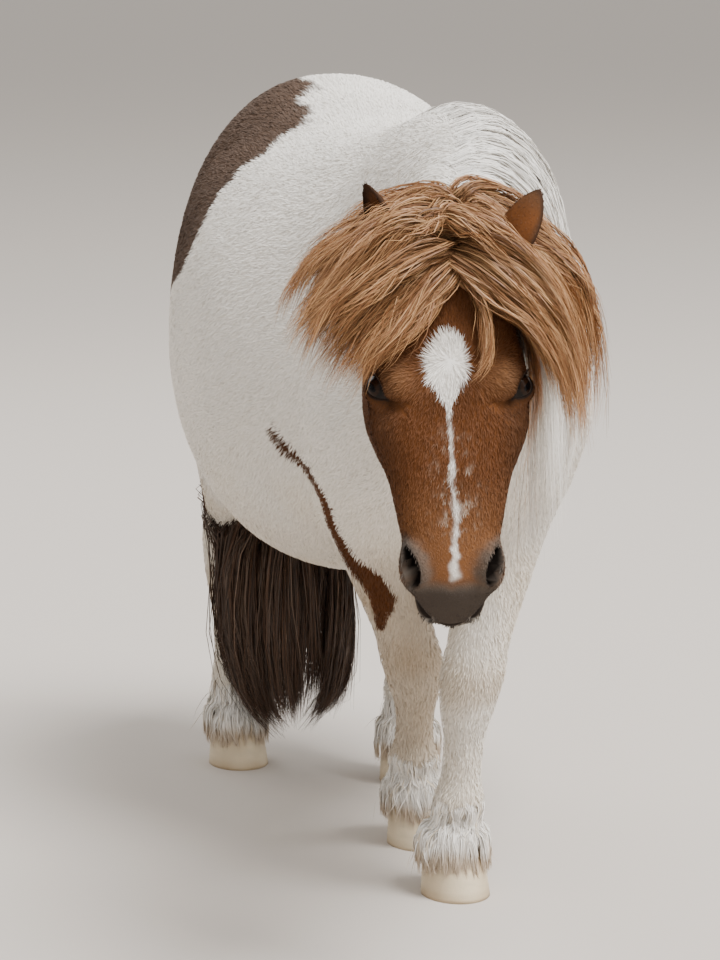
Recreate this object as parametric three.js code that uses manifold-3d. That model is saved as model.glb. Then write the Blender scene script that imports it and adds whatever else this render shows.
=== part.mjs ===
// A shetland pony, life size, walking with its head low and turned a little to its right.
// Millimetres, +Z up. The pony looks along -Y, and its left side is at +X.
// Its flesh is one union of smooth forms, softened where they meet and then parted with thin cuts.

import * as THREE from "three";
import { mergeVertices } from "three/addons/utils/BufferGeometryUtils.js";
import Module from "manifold-3d";

const wasm = await Module();
wasm.setup();

// Driving dimensions
const WITHERS_HEIGHT = 900;
const HEAD_LENGTH = 390;
const EYE_RADIUS = 18;
const GAP = 0.3;

// The body's tables are in hundredths of the height at the withers, the head's in those of its length.
const BODY_UNIT = WITHERS_HEIGHT / 100;
const HEAD_UNIT = HEAD_LENGTH / 100;

// From the midpoint between the feet to the middle of the pony's box, which is the origin
const ORIGIN_SHIFT = new THREE.Vector3(16, 128, 0);

// How the head is carried
const POLL = [-13.8, -72.6, 87];
const NOSE_DOWN = THREE.MathUtils.degToRad(67);
const HEAD_TURN = THREE.MathUtils.degToRad(-13.3);

// How widely two forms flow into each other, in mm
const BODY_BLEND = 46;
const HEAD_BLEND = 15;

const inBody = new THREE.Matrix4();
const inHead = new THREE.Matrix4()
  .makeRotationZ(HEAD_TURN)
  .multiply(new THREE.Matrix4().makeRotationX(NOSE_DOWN))
  .setPosition(new THREE.Vector3(...POLL).multiplyScalar(BODY_UNIT));

const vector = ([x, y, z]) => new THREE.Vector3(x, y, z);
const curveOf = (points) => new THREE.CatmullRomCurve3(points.map(vector), false, "catmullrom", 0.5);
const headPoint = (values) => vector(values).multiplyScalar(HEAD_UNIT).applyMatrix4(inHead);

// A closed geometry as a solid, and a solid as a geometry
function solidOf(geometry) {
  const bare = new THREE.BufferGeometry();
  bare.setAttribute("position", geometry.getAttribute("position"));
  bare.setIndex(geometry.index);
  const merged = mergeVertices(bare, 1e-4);
  return new wasm.Manifold(new wasm.Mesh({
    numProp: 3,
    vertProperties: new Float32Array(merged.attributes.position.array),
    triVerts: new Uint32Array(merged.index.array),
  }));
}

function geometryOf(solid) {
  const mesh = solid.getMesh();
  const geometry = new THREE.BufferGeometry();
  geometry.setAttribute("position", new THREE.BufferAttribute(mesh.vertProperties, 3));
  geometry.setIndex(new THREE.BufferAttribute(mesh.triVerts, 1));
  return geometry;
}

const joined = (solids) => solids.reduce((all, one) => all.add(one));
const largestOf = (solid) => solid.decompose().sort((a, b) => b.volume() - a.volume())[0];

// A geometry of points and triangles, with its faces turned out
function facingOut(points, faces) {
  const volume = faces.reduce((sum, [a, b, c]) =>
    sum + points[a].dot(new THREE.Vector3().crossVectors(points[b], points[c])), 0);
  const geometry = new THREE.BufferGeometry().setFromPoints(points);
  geometry.setIndex(faces.flatMap(([a, b, c]) => (volume < 0 ? [a, c, b] : [a, b, c])));
  return geometry;
}

// A closed skin over rows of points: each row is a ring, and each end is closed by a fan.
function skinOver(rings) {
  const sides = rings[0].length;
  const points = rings.flat();
  const faces = [];
  for (let i = 0; i < rings.length - 1; i++)
    for (let j = 0; j < sides; j++) {
      const [a, b] = [i * sides + j, i * sides + ((j + 1) % sides)];
      faces.push([a, a + sides, b], [b, a + sides, b + sides]);
    }
  for (const [ring, first] of [[rings[0], 0], [rings.at(-1), points.length - sides]]) {
    const middle = ring.reduce((sum, p) => sum.add(p), new THREE.Vector3()).divideScalar(sides);
    for (let j = 0; j < sides; j++) {
      const [a, b] = [first + j, first + ((j + 1) % sides)];
      faces.push(first === 0 ? [rings.length * sides, a, b] : [points.length, b, a]);
    }
    points.push(middle);
  }
  return facingOut(points, faces);
}

// A smooth row of oval rings along Y or Z. A row of its table holds the ring's centre x, y, z, its reach
// to the side, up and down (along Z: to the side, forward and back), and how square it is above and below.
class Form {
  constructor(table, { axis = "y", unit = BODY_UNIT, place = inBody, blend = BODY_BLEND } = {}) {
    Object.assign(this, { axis, place, blend, count: table.length });
    this.centres = curveOf(table.map((row) => row.slice(0, 3).map((v) => v * unit)));
    this.reaches = curveOf(table.map((row) => row.slice(3, 6).map((v) => v * unit)));
    this.powers = curveOf(table.map((row) => [row[6] ?? 2, row[7] ?? row[6] ?? 2, 0]));
    this.fromWorld = place.clone().invert();
    this.samples = Array.from({ length: 161 }, (_, i) => this.ring(i / 160));
    if (this.samples[0].centre[axis] > this.samples.at(-1).centre[axis]) this.samples.reverse();
  }

  ring(t) {
    const [centre, reach, power] = [this.centres, this.reaches, this.powers].map((c) => c.getPoint(t));
    return { centre, reach: reach.max(new THREE.Vector3(0.5, 0.5, 0.5)), power };
  }

  // The point at share t of its length and at an angle round it, where 0 is its left and 90 degrees its top
  point(t, angle, lift = 0) {
    const { centre, reach, power } = this.ring(t);
    const [c, s] = [Math.cos(angle), Math.sin(angle)];
    const bend = 2 / (s >= 0 ? power.x : power.y);
    const side = (reach.x + lift) * Math.sign(c) * Math.abs(c) ** bend;
    const tall = ((s >= 0 ? reach.y : reach.z) + lift) * Math.sign(s) * Math.abs(s) ** bend;
    const offset = this.axis === "y" ? [side, 0, tall] : [side, -tall, 0];
    return centre.add(vector(offset)).applyMatrix4(this.place);
  }

  solid(sides, ringsEach, lift = 0) {
    const count = (this.count - 1) * ringsEach;
    return solidOf(skinOver(Array.from({ length: count + 1 }, (_, i) =>
      Array.from({ length: sides }, (_, j) => this.point(i / count, (j / sides) * 2 * Math.PI, lift)))));
  }

  // How far a point is outside the form, or inside it where that is less than nothing
  distance(point) {
    const p = point.clone().applyMatrix4(this.fromWorld);
    const along = p[this.axis];
    const rings = this.samples;
    const inside = THREE.MathUtils.clamp(along, rings[0].centre[this.axis], rings.at(-1).centre[this.axis]);
    let [low, high] = [0, rings.length - 1];
    while (high - low > 1) {
      const middle = (low + high) >> 1;
      if (rings[middle].centre[this.axis] > inside) high = middle;
      else low = middle;
    }
    const [from, to] = [rings[low], rings[high]];
    const share = (inside - from.centre[this.axis]) / (to.centre[this.axis] - from.centre[this.axis]);
    const centre = from.centre.clone().lerp(to.centre, share);
    const reach = from.reach.clone().lerp(to.reach, share);
    const power = from.power.clone().lerp(to.power, share);
    const side = Math.abs(p.x - centre.x);
    const tall = this.axis === "y" ? p.z - centre.z : centre.y - p.y;
    const [height, bend] = tall >= 0 ? [reach.y, power.x] : [reach.z, power.y];
    const size = ((side / reach.x) ** bend + (Math.abs(tall) / height) ** bend) ** (1 / bend);
    const radial = size > 0.05 ? Math.hypot(side, tall) * (1 - 1 / size) : -Math.min(reach.x, height);
    return along === inside ? radial : Math.hypot(Math.max(radial, 0), along - inside);
  }
}

// A rounded lump in the head
class Lump {
  constructor(centre, radii, blend = HEAD_BLEND) {
    Object.assign(this, { blend });
    const [middle, reach] = [centre, radii].map((values) => vector(values).multiplyScalar(HEAD_UNIT));
    this.place = inHead.clone()
      .multiply(new THREE.Matrix4().makeTranslation(middle))
      .multiply(new THREE.Matrix4().makeScale(reach.x, reach.y, reach.z));
    this.fromWorld = this.place.clone().invert();
    this.middle = headPoint(centre);
  }

  solid() {
    return solidOf(new THREE.SphereGeometry(1, 10, 7).applyMatrix4(this.place));
  }

  distance(point) {
    const size = point.clone().applyMatrix4(this.fromWorld).length();
    return point.distanceTo(this.middle) * (1 - 1 / Math.max(size, 0.05));
  }
}

// Trunk, from breast to buttocks
const trunk = new Form([
  [-1.5, -47.5, 62, 2, 2, 2],
  [-1.5, -45.5, 62, 9, 9, 8],
  [-1.5, -41, 62.5, 13.5, 17, 13.5],
  [-1.5, -34, 64, 16, 29, 18, 1.9, 2],
  [-1.2, -26, 65, 17.5, 34, 20.5, 1.7, 2],
  [-0.4, -17, 65, 22.5, 33.5, 24.5, 1.8, 2.2],
  [0, -5, 65, 27.6, 31.5, 28, 2.1, 2.3],
  [0, 8, 65, 28.8, 31.8, 30, 2.2, 2.2],
  [0, 20, 66.5, 27.3, 33.6, 26, 2.2, 2.1],
  [0, 31, 70, 24, 33.1, 22.5, 2.2, 2],
  [0, 41, 72, 19, 29, 20, 2.1, 2],
  [0, 48, 73, 13.5, 20.5, 16.5],
  [0, 51.2, 73, 8.4, 13, 11],
  [0, 52.4, 73, 4.4, 7, 6],
]);

// Neck, from inside the shoulders to inside the head
const neck = new Form([
  [-0.8, -20, 78, 10, 17, 20],
  [-1, -30, 79, 13, 21, 24],
  [-1.8, -40, 80, 12, 19.5, 21.5],
  [-4, -50, 80.5, 10.8, 17.5, 18],
  [-7.2, -59, 80.5, 9.8, 15, 15],
  [-10.6, -67, 80, 9, 11.5, 12.5],
  [-13, -72, 79.5, 7.5, 8, 9],
  [-14, -74, 79.5, 3, 3, 3],
]);

// Legs. A limb's rings are set along its joints: 0 is the first joint, 1 the next and so on.
function limb(joints, rings) {
  const path = curveOf(joints);
  return new Form(rings.map(([place, ...reach]) =>
    [...path.getPoint(place / (joints.length - 1)).toArray(), ...reach]), { axis: "z" });
}

// Foreleg: top of the shoulder blade, point of the shoulder, elbow, knee, fetlock, pastern, foot
const foreRings = [
  [0, 3, 4, 4],
  [0.3, 5.5, 9, 8],
  [1, 6.8, 12, 13],
  [1.6, 6.4, 10, 10],
  [2, 5.8, 7.6, 7.4],
  [2.35, 4.9, 5.8, 5.8],
  [2.75, 4, 4.4, 4.3],
  [2.98, 4.1, 4.6, 4.1],
  [3.2, 3.5, 3.9, 3.7],
  [3.45, 2.6, 2.9, 3],
  [3.75, 2.5, 2.8, 3.1],
  [4, 3.1, 3.6, 4.1],
  [4.4, 2.8, 3.3, 3.6],
  [5, 3.7, 4.2, 4],
  [6, 3.9, 4.6, 4],
];

// Hindleg: hip, thigh, stifle, hock, fetlock, pastern, foot
const hindRings = [
  [0, 3, 5, 5],
  [0.3, 6.5, 12, 10],
  [0.7, 8.5, 16, 14],
  [1, 9, 17.5, 16],
  [1.5, 8.6, 15.5, 14.5],
  [2, 7, 12, 11.5],
  [2.35, 5.5, 8.6, 9],
  [2.7, 4.2, 6.2, 7.4],
  [3, 3.9, 5.2, 6.4],
  [3.25, 3.5, 4.4, 4.7],
  [3.5, 2.7, 3.3, 3.5],
  [3.75, 2.6, 3, 3.3],
  [4, 3.2, 3.6, 4.2],
  [4.4, 2.9, 3.3, 3.7],
  [5, 3.7, 4.2, 4],
  [6, 3.9, 4.6, 4],
];

const legs = {
  foreleg_left: limb([[5.5, -22, 88], [9.5, -32, 66], [6.6, -31, 48], [0.5, -35.4, 28.5],
    [-0.9, -34.6, 12.5], [-1.4, -33.8, 7.5], [-1.5, -34.2, 1]], foreRings),
  foreleg_right: limb([[-6, -22, 88], [-11.6, -31, 66], [-10.4, -26, 48], [-2.4, -17.6, 27],
    [-0.2, -11, 12.5], [0.5, -9.6, 7.5], [0.7, -9.8, 1]], foreRings),
  hindleg_left: limb([[7, 34, 92], [13.5, 32, 68], [13.4, 25, 47], [10.6, 32, 33.5],
    [8.8, 25, 12.5], [8.6, 23.6, 7.5], [8.6, 23.1, 1]], hindRings),
  hindleg_right: limb([[-7, 34, 92], [-13.5, 33.5, 68], [-14, 31, 47], [-13.4, 44, 33.5],
    [-13.3, 42.4, 12.5], [-13.4, 40.8, 7.5], [-13.4, 40, 1]], hindRings),
};

// Head, in its own frame: the poll is the origin, the nose points along -Y and the forehead up.
const inSkull = { unit: HEAD_UNIT, place: inHead, blend: HEAD_BLEND };
const skull = new Form([
  [0, 1, -7, 5, 3, 5],
  [0, -3, -7, 10.5, 7, 9],
  [0, -12, -8, 15, 10, 12],
  [0, -25, -9, 18.6, 11.8, 14, 2.3],
  [0, -36, -9, 20.4, 11.8, 15, 2.5],
  [0, -47, -9.5, 20.6, 10.6, 15, 2.5],
  [0, -59, -10.5, 16.4, 9.8, 12, 2.4],
  [0, -72, -11.5, 13.6, 9, 10, 2.3],
  [0, -81, -12, 12.2, 8.4, 9.5],
  [0, -88, -13, 11, 7.2, 8.4],
  [0, -91.6, -14.3, 9.2, 6, 6.4],
  [0, -94, -15.4, 6.6, 4.4, 4.6],
  [0, -94.9, -16, 3.8, 2.4, 2.8],
  [0, -95.1, -16.2, 1, 0.8, 1],
], inSkull);
const jaw = new Form([
  [0, -8, -26, 5, 5, 5],
  [0, -13, -26, 12, 10, 9],
  [0, -25, -26, 17.6, 14, 12.3, 2.2],
  [0, -38, -25, 20, 15, 12, 2.2],
  [0, -49, -24, 19, 13, 10, 2.1],
  [0, -59, -23.5, 14.4, 11, 8],
  [0, -70, -23, 10.8, 9, 6],
  [0, -80, -22.8, 9.8, 8, 6],
  [0, -87, -22.6, 9.8, 6, 5.6],
  [0, -90.4, -22, 8.6, 4, 4.8],
  [0, -92.6, -21.6, 5.8, 2.4, 3.2],
  [0, -93.4, -21.4, 2, 1, 1.2],
], inSkull);

const lumps = [-1, 1].flatMap((side) => [
  new Lump([side * 14.6, -35.5, -4.4], [6, 8, 7]),
  new Lump([side * 16.4, -33, -24], [5.4, 15, 13]),
  new Lump([side * 9.6, -84, -9.4], [3.7, 6.4, 6]),
]);

const forms = [trunk, neck, skull, jaw, ...Object.values(legs), ...lumps];

// How far a point is outside all the forms, where near forms flow into each other
function distanceTo(point) {
  let [nearest, blend] = [Infinity, 0];
  for (const form of forms) {
    const next = form.distance(point);
    const width = nearest < next ? Math.min(blend, form.blend) : Math.min(form.blend, blend || form.blend);
    const overlap = Math.max(width - Math.abs(nearest - next), 0) / width;
    if (next < nearest) blend = form.blend;
    nearest = Math.min(nearest, next) - overlap * overlap * width / 4;
  }
  return nearest;
}

// The way out of the flesh at a point
function wayOut(point, distance = distanceTo) {
  const here = distance(point);
  return vector([[1, 0, 0], [0, 1, 0], [0, 0, 1]].map((step) =>
    distance(point.clone().add(vector(step))) - here)).normalize();
}

// Moves a point until it is that far outside the flesh
function liftedTo(point, lift) {
  for (let pass = 0; pass < 3; pass++) point.addScaledVector(wayOut(point), lift - distanceTo(point));
  return point;
}

// Moves a solid's points out to where the blended forms end
function softened(solid) {
  const mesh = solid.getMesh();
  const places = mesh.vertProperties;
  for (let i = 0; i < places.length; i += 3)
    liftedTo(new THREE.Vector3().fromArray(places, i), 0).toArray(places, i);
  return new wasm.Manifold(mesh);
}

// Cutters. Everything on one side of a plane, in body units, moved away from it by a shift in mm
const FAR = 3000;
function beyond(place, direction, shift = 0) {
  const box = new THREE.BoxGeometry(FAR, FAR, FAR).translate(0, 0, FAR / 2 + shift);
  box.applyQuaternion(new THREE.Quaternion().setFromUnitVectors(
    new THREE.Vector3(0, 0, 1), vector(direction).normalize()));
  return solidOf(box.translate(...place.map((v) => v * BODY_UNIT)));
}

// The room below a bent line in the side view, which rises to both sides of the pony
function legRoom(line, rise, raised = 0) {
  const shape = new THREE.Shape(line.map(([y, z]) =>
    new THREE.Vector2(y * BODY_UNIT, z * BODY_UNIT + raised)));
  return joined([1, -1].map((side) => facing(
    new THREE.ExtrudeGeometry(shape, { depth: FAR / 4, bevelEnabled: false, steps: 1 })
      .applyMatrix4(new THREE.Matrix4().makeBasis(
        new THREE.Vector3(0, 1, 0), new THREE.Vector3(0, 0, 1), new THREE.Vector3(side, 0, rise))))));
}

function facing(geometry) {
  const merged = mergeVertices(new THREE.BufferGeometry()
    .setAttribute("position", geometry.getAttribute("position")).setIndex(geometry.index), 1e-4);
  const place = merged.attributes.position;
  const pointAt = (i) => new THREE.Vector3().fromBufferAttribute(place, i);
  const points = Array.from({ length: place.count }, (_, i) => pointAt(i));
  const index = merged.index.array;
  return solidOf(facingOut(points,
    Array.from({ length: index.length / 3 }, (_, i) => [...index.slice(i * 3, i * 3 + 3)])));
}

// The room that a solid takes with a gap all round it
function roomFor(solid, gap = GAP) {
  const geometry = geometryOf(solid);
  geometry.computeVertexNormals();
  const [places, normals] = [geometry.attributes.position.array, geometry.attributes.normal.array];
  for (let i = 0; i < places.length; i++) places[i] += normals[i] * gap;
  return solidOf(geometry).add(solid);
}

// A solid cut clear of those that it would cross
function clearOf(solid, ...others) {
  for (const other of others)
    if (!solid.intersect(other).isEmpty()) solid = solid.subtract(roomFor(other));
  return solid;
}

// A frame in the head: its X runs along one direction and its Z faces another.
function headFrame(centre, along, facingTo) {
  const z = vector(facingTo).normalize();
  const x = vector(along).addScaledVector(z, -vector(along).dot(z)).normalize();
  const frame = new THREE.Matrix4().makeBasis(x, new THREE.Vector3().crossVectors(z, x), z);
  return inHead.clone().multiply(frame.setPosition(vector(centre).multiplyScalar(HEAD_UNIT)));
}

function ball(frame, radii, centre = [0, 0, 0], around = 10) {
  const sphere = new THREE.SphereGeometry(1, around, around / 2 + 1);
  return solidOf(sphere.scale(...radii).translate(...centre).applyMatrix4(frame));
}

// Eyes: the ball, and the lids round it
const LID_THICKNESS = 3;
const EYE_OPENING = [16.5, 9, 14];
const eyeFrames = [1, -1].map((side) =>
  headFrame([side * 16.6, -37.8, -5], [side * -0.5, -0.72, 0.45], [side * 0.74, -0.12, 0.66]));
const eyeball = (frame, radius) => ball(frame, [radius, radius, radius], [0, 0, 0], 12);
const lids = (frame) => eyeball(frame, EYE_RADIUS + LID_THICKNESS);
const lidOpening = (frame) => ball(frame, EYE_OPENING, [0, 0, EYE_RADIUS + 1]);

// Ears: a cup on the side of the poll. The left one is turned to listen behind it.
const earPlaces = [
  { base: [13, -7.5, -2], tip: [24, 12.5, 4], facingTo: [0.62, 0.25, -0.75] },
  { base: [-13, -7, -2], tip: [-20.5, 13, 3.4], facingTo: [-0.72, -0.3, 0.66] },
];
const earFrames = earPlaces.map(({ facingTo, ...ends }) => {
  const [base, tip] = [vector(ends.base), vector(ends.tip)];
  const z = tip.clone().sub(base).normalize();
  const y = vector(facingTo).negate();
  y.addScaledVector(z, -y.dot(z)).normalize();
  const frame = new THREE.Matrix4().makeBasis(new THREE.Vector3().crossVectors(y, z), y, z);
  return inHead.clone().multiply(frame.setPosition(base.multiplyScalar(HEAD_UNIT)));
});
const earOuter = [
  [0, 0, -3, 2.6, 2.4, 2.4],
  [0, 0, 1, 3.4, 2.8, 3],
  [0, 0, 6, 5, 2.4, 3.6],
  [0, 0, 11, 5.9, 1.7, 3.4],
  [0, 0, 17, 4.9, 1, 2.6],
  [0, 0, 21.4, 2.6, 0.5, 1.4],
  [0, 0, 23.6, 0.6, 0.2, 0.4],
];
const earInner = [
  [0, -0.6, 3, 1.4, 4, 1.4],
  [0, -0.6, 6, 3.4, 5, 2.6],
  [0, -0.6, 11, 4.6, 5, 2.6],
  [0, -0.6, 17, 3.7, 4, 1.9],
  [0, -0.6, 21, 1.4, 3, 0.8],
  [0, -0.6, 22, 0.3, 2, 0.3],
];
const ear = (place) => new Form(earOuter, { axis: "z", unit: HEAD_UNIT, place }).solid(12, 1)
  .subtract(new Form(earInner, { axis: "z", unit: HEAD_UNIT, place }).solid(10, 1));

// Nostrils and mouth
const NOSTRIL = [21, 6.5, 13];
const nostrils = [1, -1].map((side) => ball(
  headFrame([side * 10.2, -84, -7], [side * -0.4, -0.9, -0.15], [side * 0.66, -0.3, 0.68]), NOSTRIL));
const LIP_DEPTH = 7;
const MOUTH_WIDTH = 2.4;
const MOUTH_HEIGHT = -19.6;
const MOUTH_SLOPE = 0.06;
const mouthSlab = solidOf(new THREE.BoxGeometry(400, 26 * HEAD_UNIT, MOUTH_WIDTH)
  .applyMatrix4(new THREE.Matrix4().makeRotationX(MOUTH_SLOPE))
  .translate(0, -87 * HEAD_UNIT, MOUTH_HEIGHT * HEAD_UNIT).applyMatrix4(inHead));
const mouth = mouthSlab.subtract(joined([skull.solid(14, 1, -LIP_DEPTH), jaw.solid(14, 1, -LIP_DEPTH)]));

// Hooves: a wall that flares to a flat sole, below a coronet that is higher in front
const CORONET_HEIGHT = 5.2;
const CORONET_SLOPE = 0.26;
function coronet(leg, side) {
  const [x, y] = leg.centres.getPoint(1).toArray().map((v) => v / BODY_UNIT);
  return beyond([x, y, CORONET_HEIGHT], [0, side * CORONET_SLOPE, side], GAP / 2);
}
function hoof(leg) {
  const [x, y] = leg.centres.getPoint(1).toArray().map((v) => v / BODY_UNIT);
  return new Form([
    [x, y + 1, 8, 3.6, 4.1, 3.9],
    [x, y + 0.2, 4, 4, 4.9, 4.3],
    [x, y - 0.5, 0, 4.4, 5.7, 4.5],
  ], { axis: "z" }).solid(16, 1).intersect(coronet(leg, -1));
}

// The whole mass of the tail's hair
const tailForm = new Form([
  [0, 46, 89, 3, 3, 3.4],
  [-0.2, 51, 83, 3.6, 3.4, 3.6],
  [-0.4, 53.4, 75, 4, 3.8, 3.8],
  [-1.4, 52.4, 66, 4.4, 3.8, 3.8],
  [-3.2, 48, 56, 5, 3.8, 3.8],
  [-5.6, 42, 46, 6, 3.8, 3.8],
  [-6.6, 37, 35, 8.2, 3.8, 3.8],
  [-7, 35.2, 22, 9.2, 3.8, 3.8],
  [-6.2, 35, 11, 6.6, 3, 3],
  [-5.6, 35, 5, 1.5, 1, 1],
], { axis: "z" });

// A seeded number between two ends
let seed = 11;
function between(from, to) {
  seed = (seed * 16807) % 2147483647;
  return from + (to - from) * (seed / 2147483647);
}

// Numbers spread evenly from one end to the other
function shares(from, to, count) {
  return Array.from({ length: count }, (_, i) => from + (to - from) * i / (count - 1));
}

const degrees = THREE.MathUtils.degToRad;
const pathOf = (points) => new THREE.CatmullRomCurve3(points, false, "catmullrom", 0.5);

// A flat lock of hair that tapers along its path and lies with its broad side to the body
function lock(points, width, thickness, { steps = 5, distance = distanceTo, fullness = 2.4 } = {}) {
  const path = pathOf(points);
  return solidOf(skinOver(shares(0, 1, steps + 1).map((t) => {
    const [centre, along] = [path.getPoint(t), path.getTangent(t)];
    const out = wayOut(centre, distance);
    out.addScaledVector(along, -along.dot(out)).normalize();
    const across = new THREE.Vector3().crossVectors(along, out);
    const taper = Math.min(0.75 + t, 1) * Math.max(1 - t ** fullness, 0.05);
    return [[across, width], [out, thickness], [across, -width], [out, -thickness]].map(([way, size]) =>
      centre.clone().addScaledVector(way, size / 2 * taper));
  })));
}

// Mane: it falls over the left side of the neck and hangs free below it
const MANE_HANG = 250;
const MANE_LIFT = 16;
const MANE_ROOT = 8;
const MANE_DRIFT = 200;

// Angles round the neck, and the share of the lift that the hair has there
const MANE_PATH = [[98, 0], [80, 0.4], [58, 0.8], [35, 1], [10, 1]];
function maneFall(share, drift, lift, hang) {
  const points = MANE_PATH.map(([angle, rise], i) => liftedTo(
    neck.point(THREE.MathUtils.clamp(share + drift * i / (MANE_PATH.length - 1), 0, 1), degrees(angle)),
    i === 0 ? -MANE_ROOT : rise * lift));
  const edge = points.at(-1);
  for (const part of [0.35, 0.7, 1]) {
    const lower = edge.clone().add(new THREE.Vector3(0, -drift * MANE_DRIFT * part, -hang * part));
    points.push(distanceTo(lower) < lift ? liftedTo(lower, lift) : lower);
  }
  return points;
}

// Two layers, the upper one shorter and set between the locks of the lower
const maneLayers = [
  { locks: 10, from: 0.1, to: 0.84, hang: 1, lift: 1 },
  { locks: 7, from: 0.15, to: 0.76, hang: 0.72, lift: 2 },
];

function maneLocks() {
  return maneLayers.flatMap(({ locks, from, to, hang, lift }) => shares(from, to, locks).map((share, i) => {
    const length = MANE_HANG * hang * between(0.72, 1.05);
    const path = maneFall(share, 0.03 * Math.sin(i * 0.9), MANE_LIFT * lift, length);
    return lock(path, between(36, 41), between(7, 9), { steps: 6 });
  }));
}

// Forelock: bands that sweep from the poll to both sides of the face. A band is its count of locks, the
// points on its path in the head's frame and how far its tips spread.
const forelockBands = [
  [4, [[0, -3, 0], [-8, -9, 5], [-15, -18, 5], [-21, -29, 3], [-26, -41, -1]], 8],
  [3, [[-3, -4, 1], [-10, -7, 6.6], [-20, -12, 7], [-28, -22, 3.4], [-34, -37, -4]], 7],
  [4, [[3, -3, 0], [11, -9, 5], [19, -19, 5], [25, -32, 2], [30, -47, -4]], 8],
  [2, [[1, -4, 0], [3, -10, 4.5], [5, -17, 5], [6, -24, 4.5], [6.5, -33, 3.2]], 3],
];
const FORELOCK_LAYER = 1.9;

function forelockLocks() {
  return forelockBands.flatMap(([count, points, spread]) => shares(-1, 1, count).map((place, k) => {
    const [aside, back] = [0.7 * place + between(-0.1, 0.1), 0.35 * Math.abs(place) + between(-0.2, 0.2)];
    const path = points.map(([u, v, w], i) => {
      const parting = spread * (0.3 + i / 4);
      const raised = (k % 2) * FORELOCK_LAYER * Math.min(i, 1);
      return headPoint([u + aside * parting, v + back * parting, w + raised]);
    });
    return lock(path, between(19, 24), between(5, 7));
  }));
}

// Tail: locks that leave the dock one after the other, round a core
const TAIL_SPLIT = 58;
const TAIL_CORE_END = 46;
const TAIL_ROOT = 18;
const TAIL_TWIST = 0.12;
const tailCore = tailForm.solid(8, 1, -6).intersect(beyond([0, 0, TAIL_CORE_END], [0, 0, 1]));

const tailLayers = [
  { locks: 3, root: 0.09, tip: 0.44, lift: 2, width: 60 },
  { locks: 8, root: 0.4, tip: 0.99, lift: 2, width: 46 },
  { locks: 2, root: 0.45, tip: 0.9, lift: -16, width: 54 },
];

function tailLocks() {
  return tailLayers.flatMap(({ locks, root, tip, lift, width }) =>
    shares(0, 2 * Math.PI, locks + 1).slice(1).map((turn) => {
      const [angle, end] = [turn + between(-0.05, 0.05), tip * between(0.9, 1.01)];
      const points = shares(0, 1, 6).map((t) => {
        const sunk = (TAIL_ROOT + lift) * (1 - t) ** 6;
        return tailForm.point(Math.min(root + (end - root) * t, 1), angle + TAIL_TWIST * t, lift - sunk);
      });
      const distance = (point) => tailForm.distance(point);
      return lock(points, width, between(8, 11), { distance, fullness: 4 });
    }));
}

// Feather: short locks that fall from the fetlock over the heel and the coronet. Its path gives how many
// rings above the foot's lowest it is, and its lift in front and the lift that it has more behind.
const FEATHER_PATH = [[2.8, -3, 0], [2.1, 3, 4], [1.3, 5, 8], [0.55, 5, 11]];
function feather(leg) {
  return shares(-140, 140, 6).map((turn) => {
    const angle = degrees(-90 + turn + between(-8, 8));
    const back = Math.cos(degrees(turn)) * 0.5 + 0.5;
    const points = FEATHER_PATH.map(([rings, lift, behind]) =>
      leg.point(1 - rings / (leg.count - 1), angle, lift + behind * back));
    return lock(points, 23 + 4 * back, 6, { steps: 3, distance: (point) => leg.distance(point) });
  });
}

// The parts
const flesh = softened(joined([
  trunk.solid(22, 2),
  neck.solid(16, 2),
  skull.solid(16, 2),
  jaw.solid(16, 1),
  ...Object.values(legs).map((leg) => leg.solid(12, 1)),
  ...lumps.map((lump) => lump.solid()),
]));

const parts = {};
const hooves = Object.fromEntries(Object.entries(legs).map(([name, leg]) => [name, hoof(leg)]));
const eyes = eyeFrames.map((frame) => eyeball(frame, EYE_RADIUS));
const eyeSockets = eyeFrames.map((frame) => eyeball(frame, EYE_RADIUS + GAP));
const earSolids = earFrames.map(ear);

// Where the flesh is parted: behind the jaw, and from the withers to the breast
const headCut = [[-11.6, -66, 78], [0.2, 0.93, 0.3]];
const neckCut = [[0, -36, 80], [0.06, 0.83, -0.56]];
const rearward = (cut) => beyond(...cut, GAP / 2);
const forward = ([place, direction]) => beyond(place, direction.map((v) => -v), GAP / 2);

const legLines = {
  foreleg: [[-70, -5], [-70, 46], [-31, 46], [-12, 31], [-12, -5]],
  hindleg: [[12, -5], [12, 32], [19, 40], [62, 90], [62, -5]],
};

// The planes between the left and the right leg
const legSplits = { foreleg: [[0, -26, 0], [1, -1, 0]], hindleg: [[0, 0, 0], [1, 0, 0]] };
const LEG_RISE = 0.5;
const FETLOCK_TOP = 16.5;

let head = flesh.intersect(forward(headCut));
let rest = flesh.intersect(rearward(headCut));
let neckPart = rest.intersect(forward(neckCut));
let torso = rest.intersect(rearward(neckCut));
for (const [name, leg] of Object.entries(legs)) {
  const [kind, which] = name.split("_");
  const [place, direction] = legSplits[kind];
  const side = which === "left" ? 1 : -1;
  const own = legRoom(legLines[kind], LEG_RISE).intersect(
    beyond(place, direction.map((v) => v * side), GAP / 2));
  const whole = largestOf(torso.intersect(own)).intersect(coronet(leg, 1));
  const foot = name.replace("leg", "");
  parts[name] = whole.intersect(beyond([0, 0, FETLOCK_TOP], [0, 0, 1], GAP / 2));
  parts[`fetlock_${foot}`] = whole.intersect(beyond([0, 0, FETLOCK_TOP], [0, 0, -1], GAP / 2))
    .add(joined(feather(leg).map((one) => clearOf(one, hooves[name], parts[name]))));
  parts[`hoof_${foot}`] = hooves[name];
}
for (const line of Object.values(legLines)) torso = torso.subtract(legRoom(line, LEG_RISE, GAP * 1.6));

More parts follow.
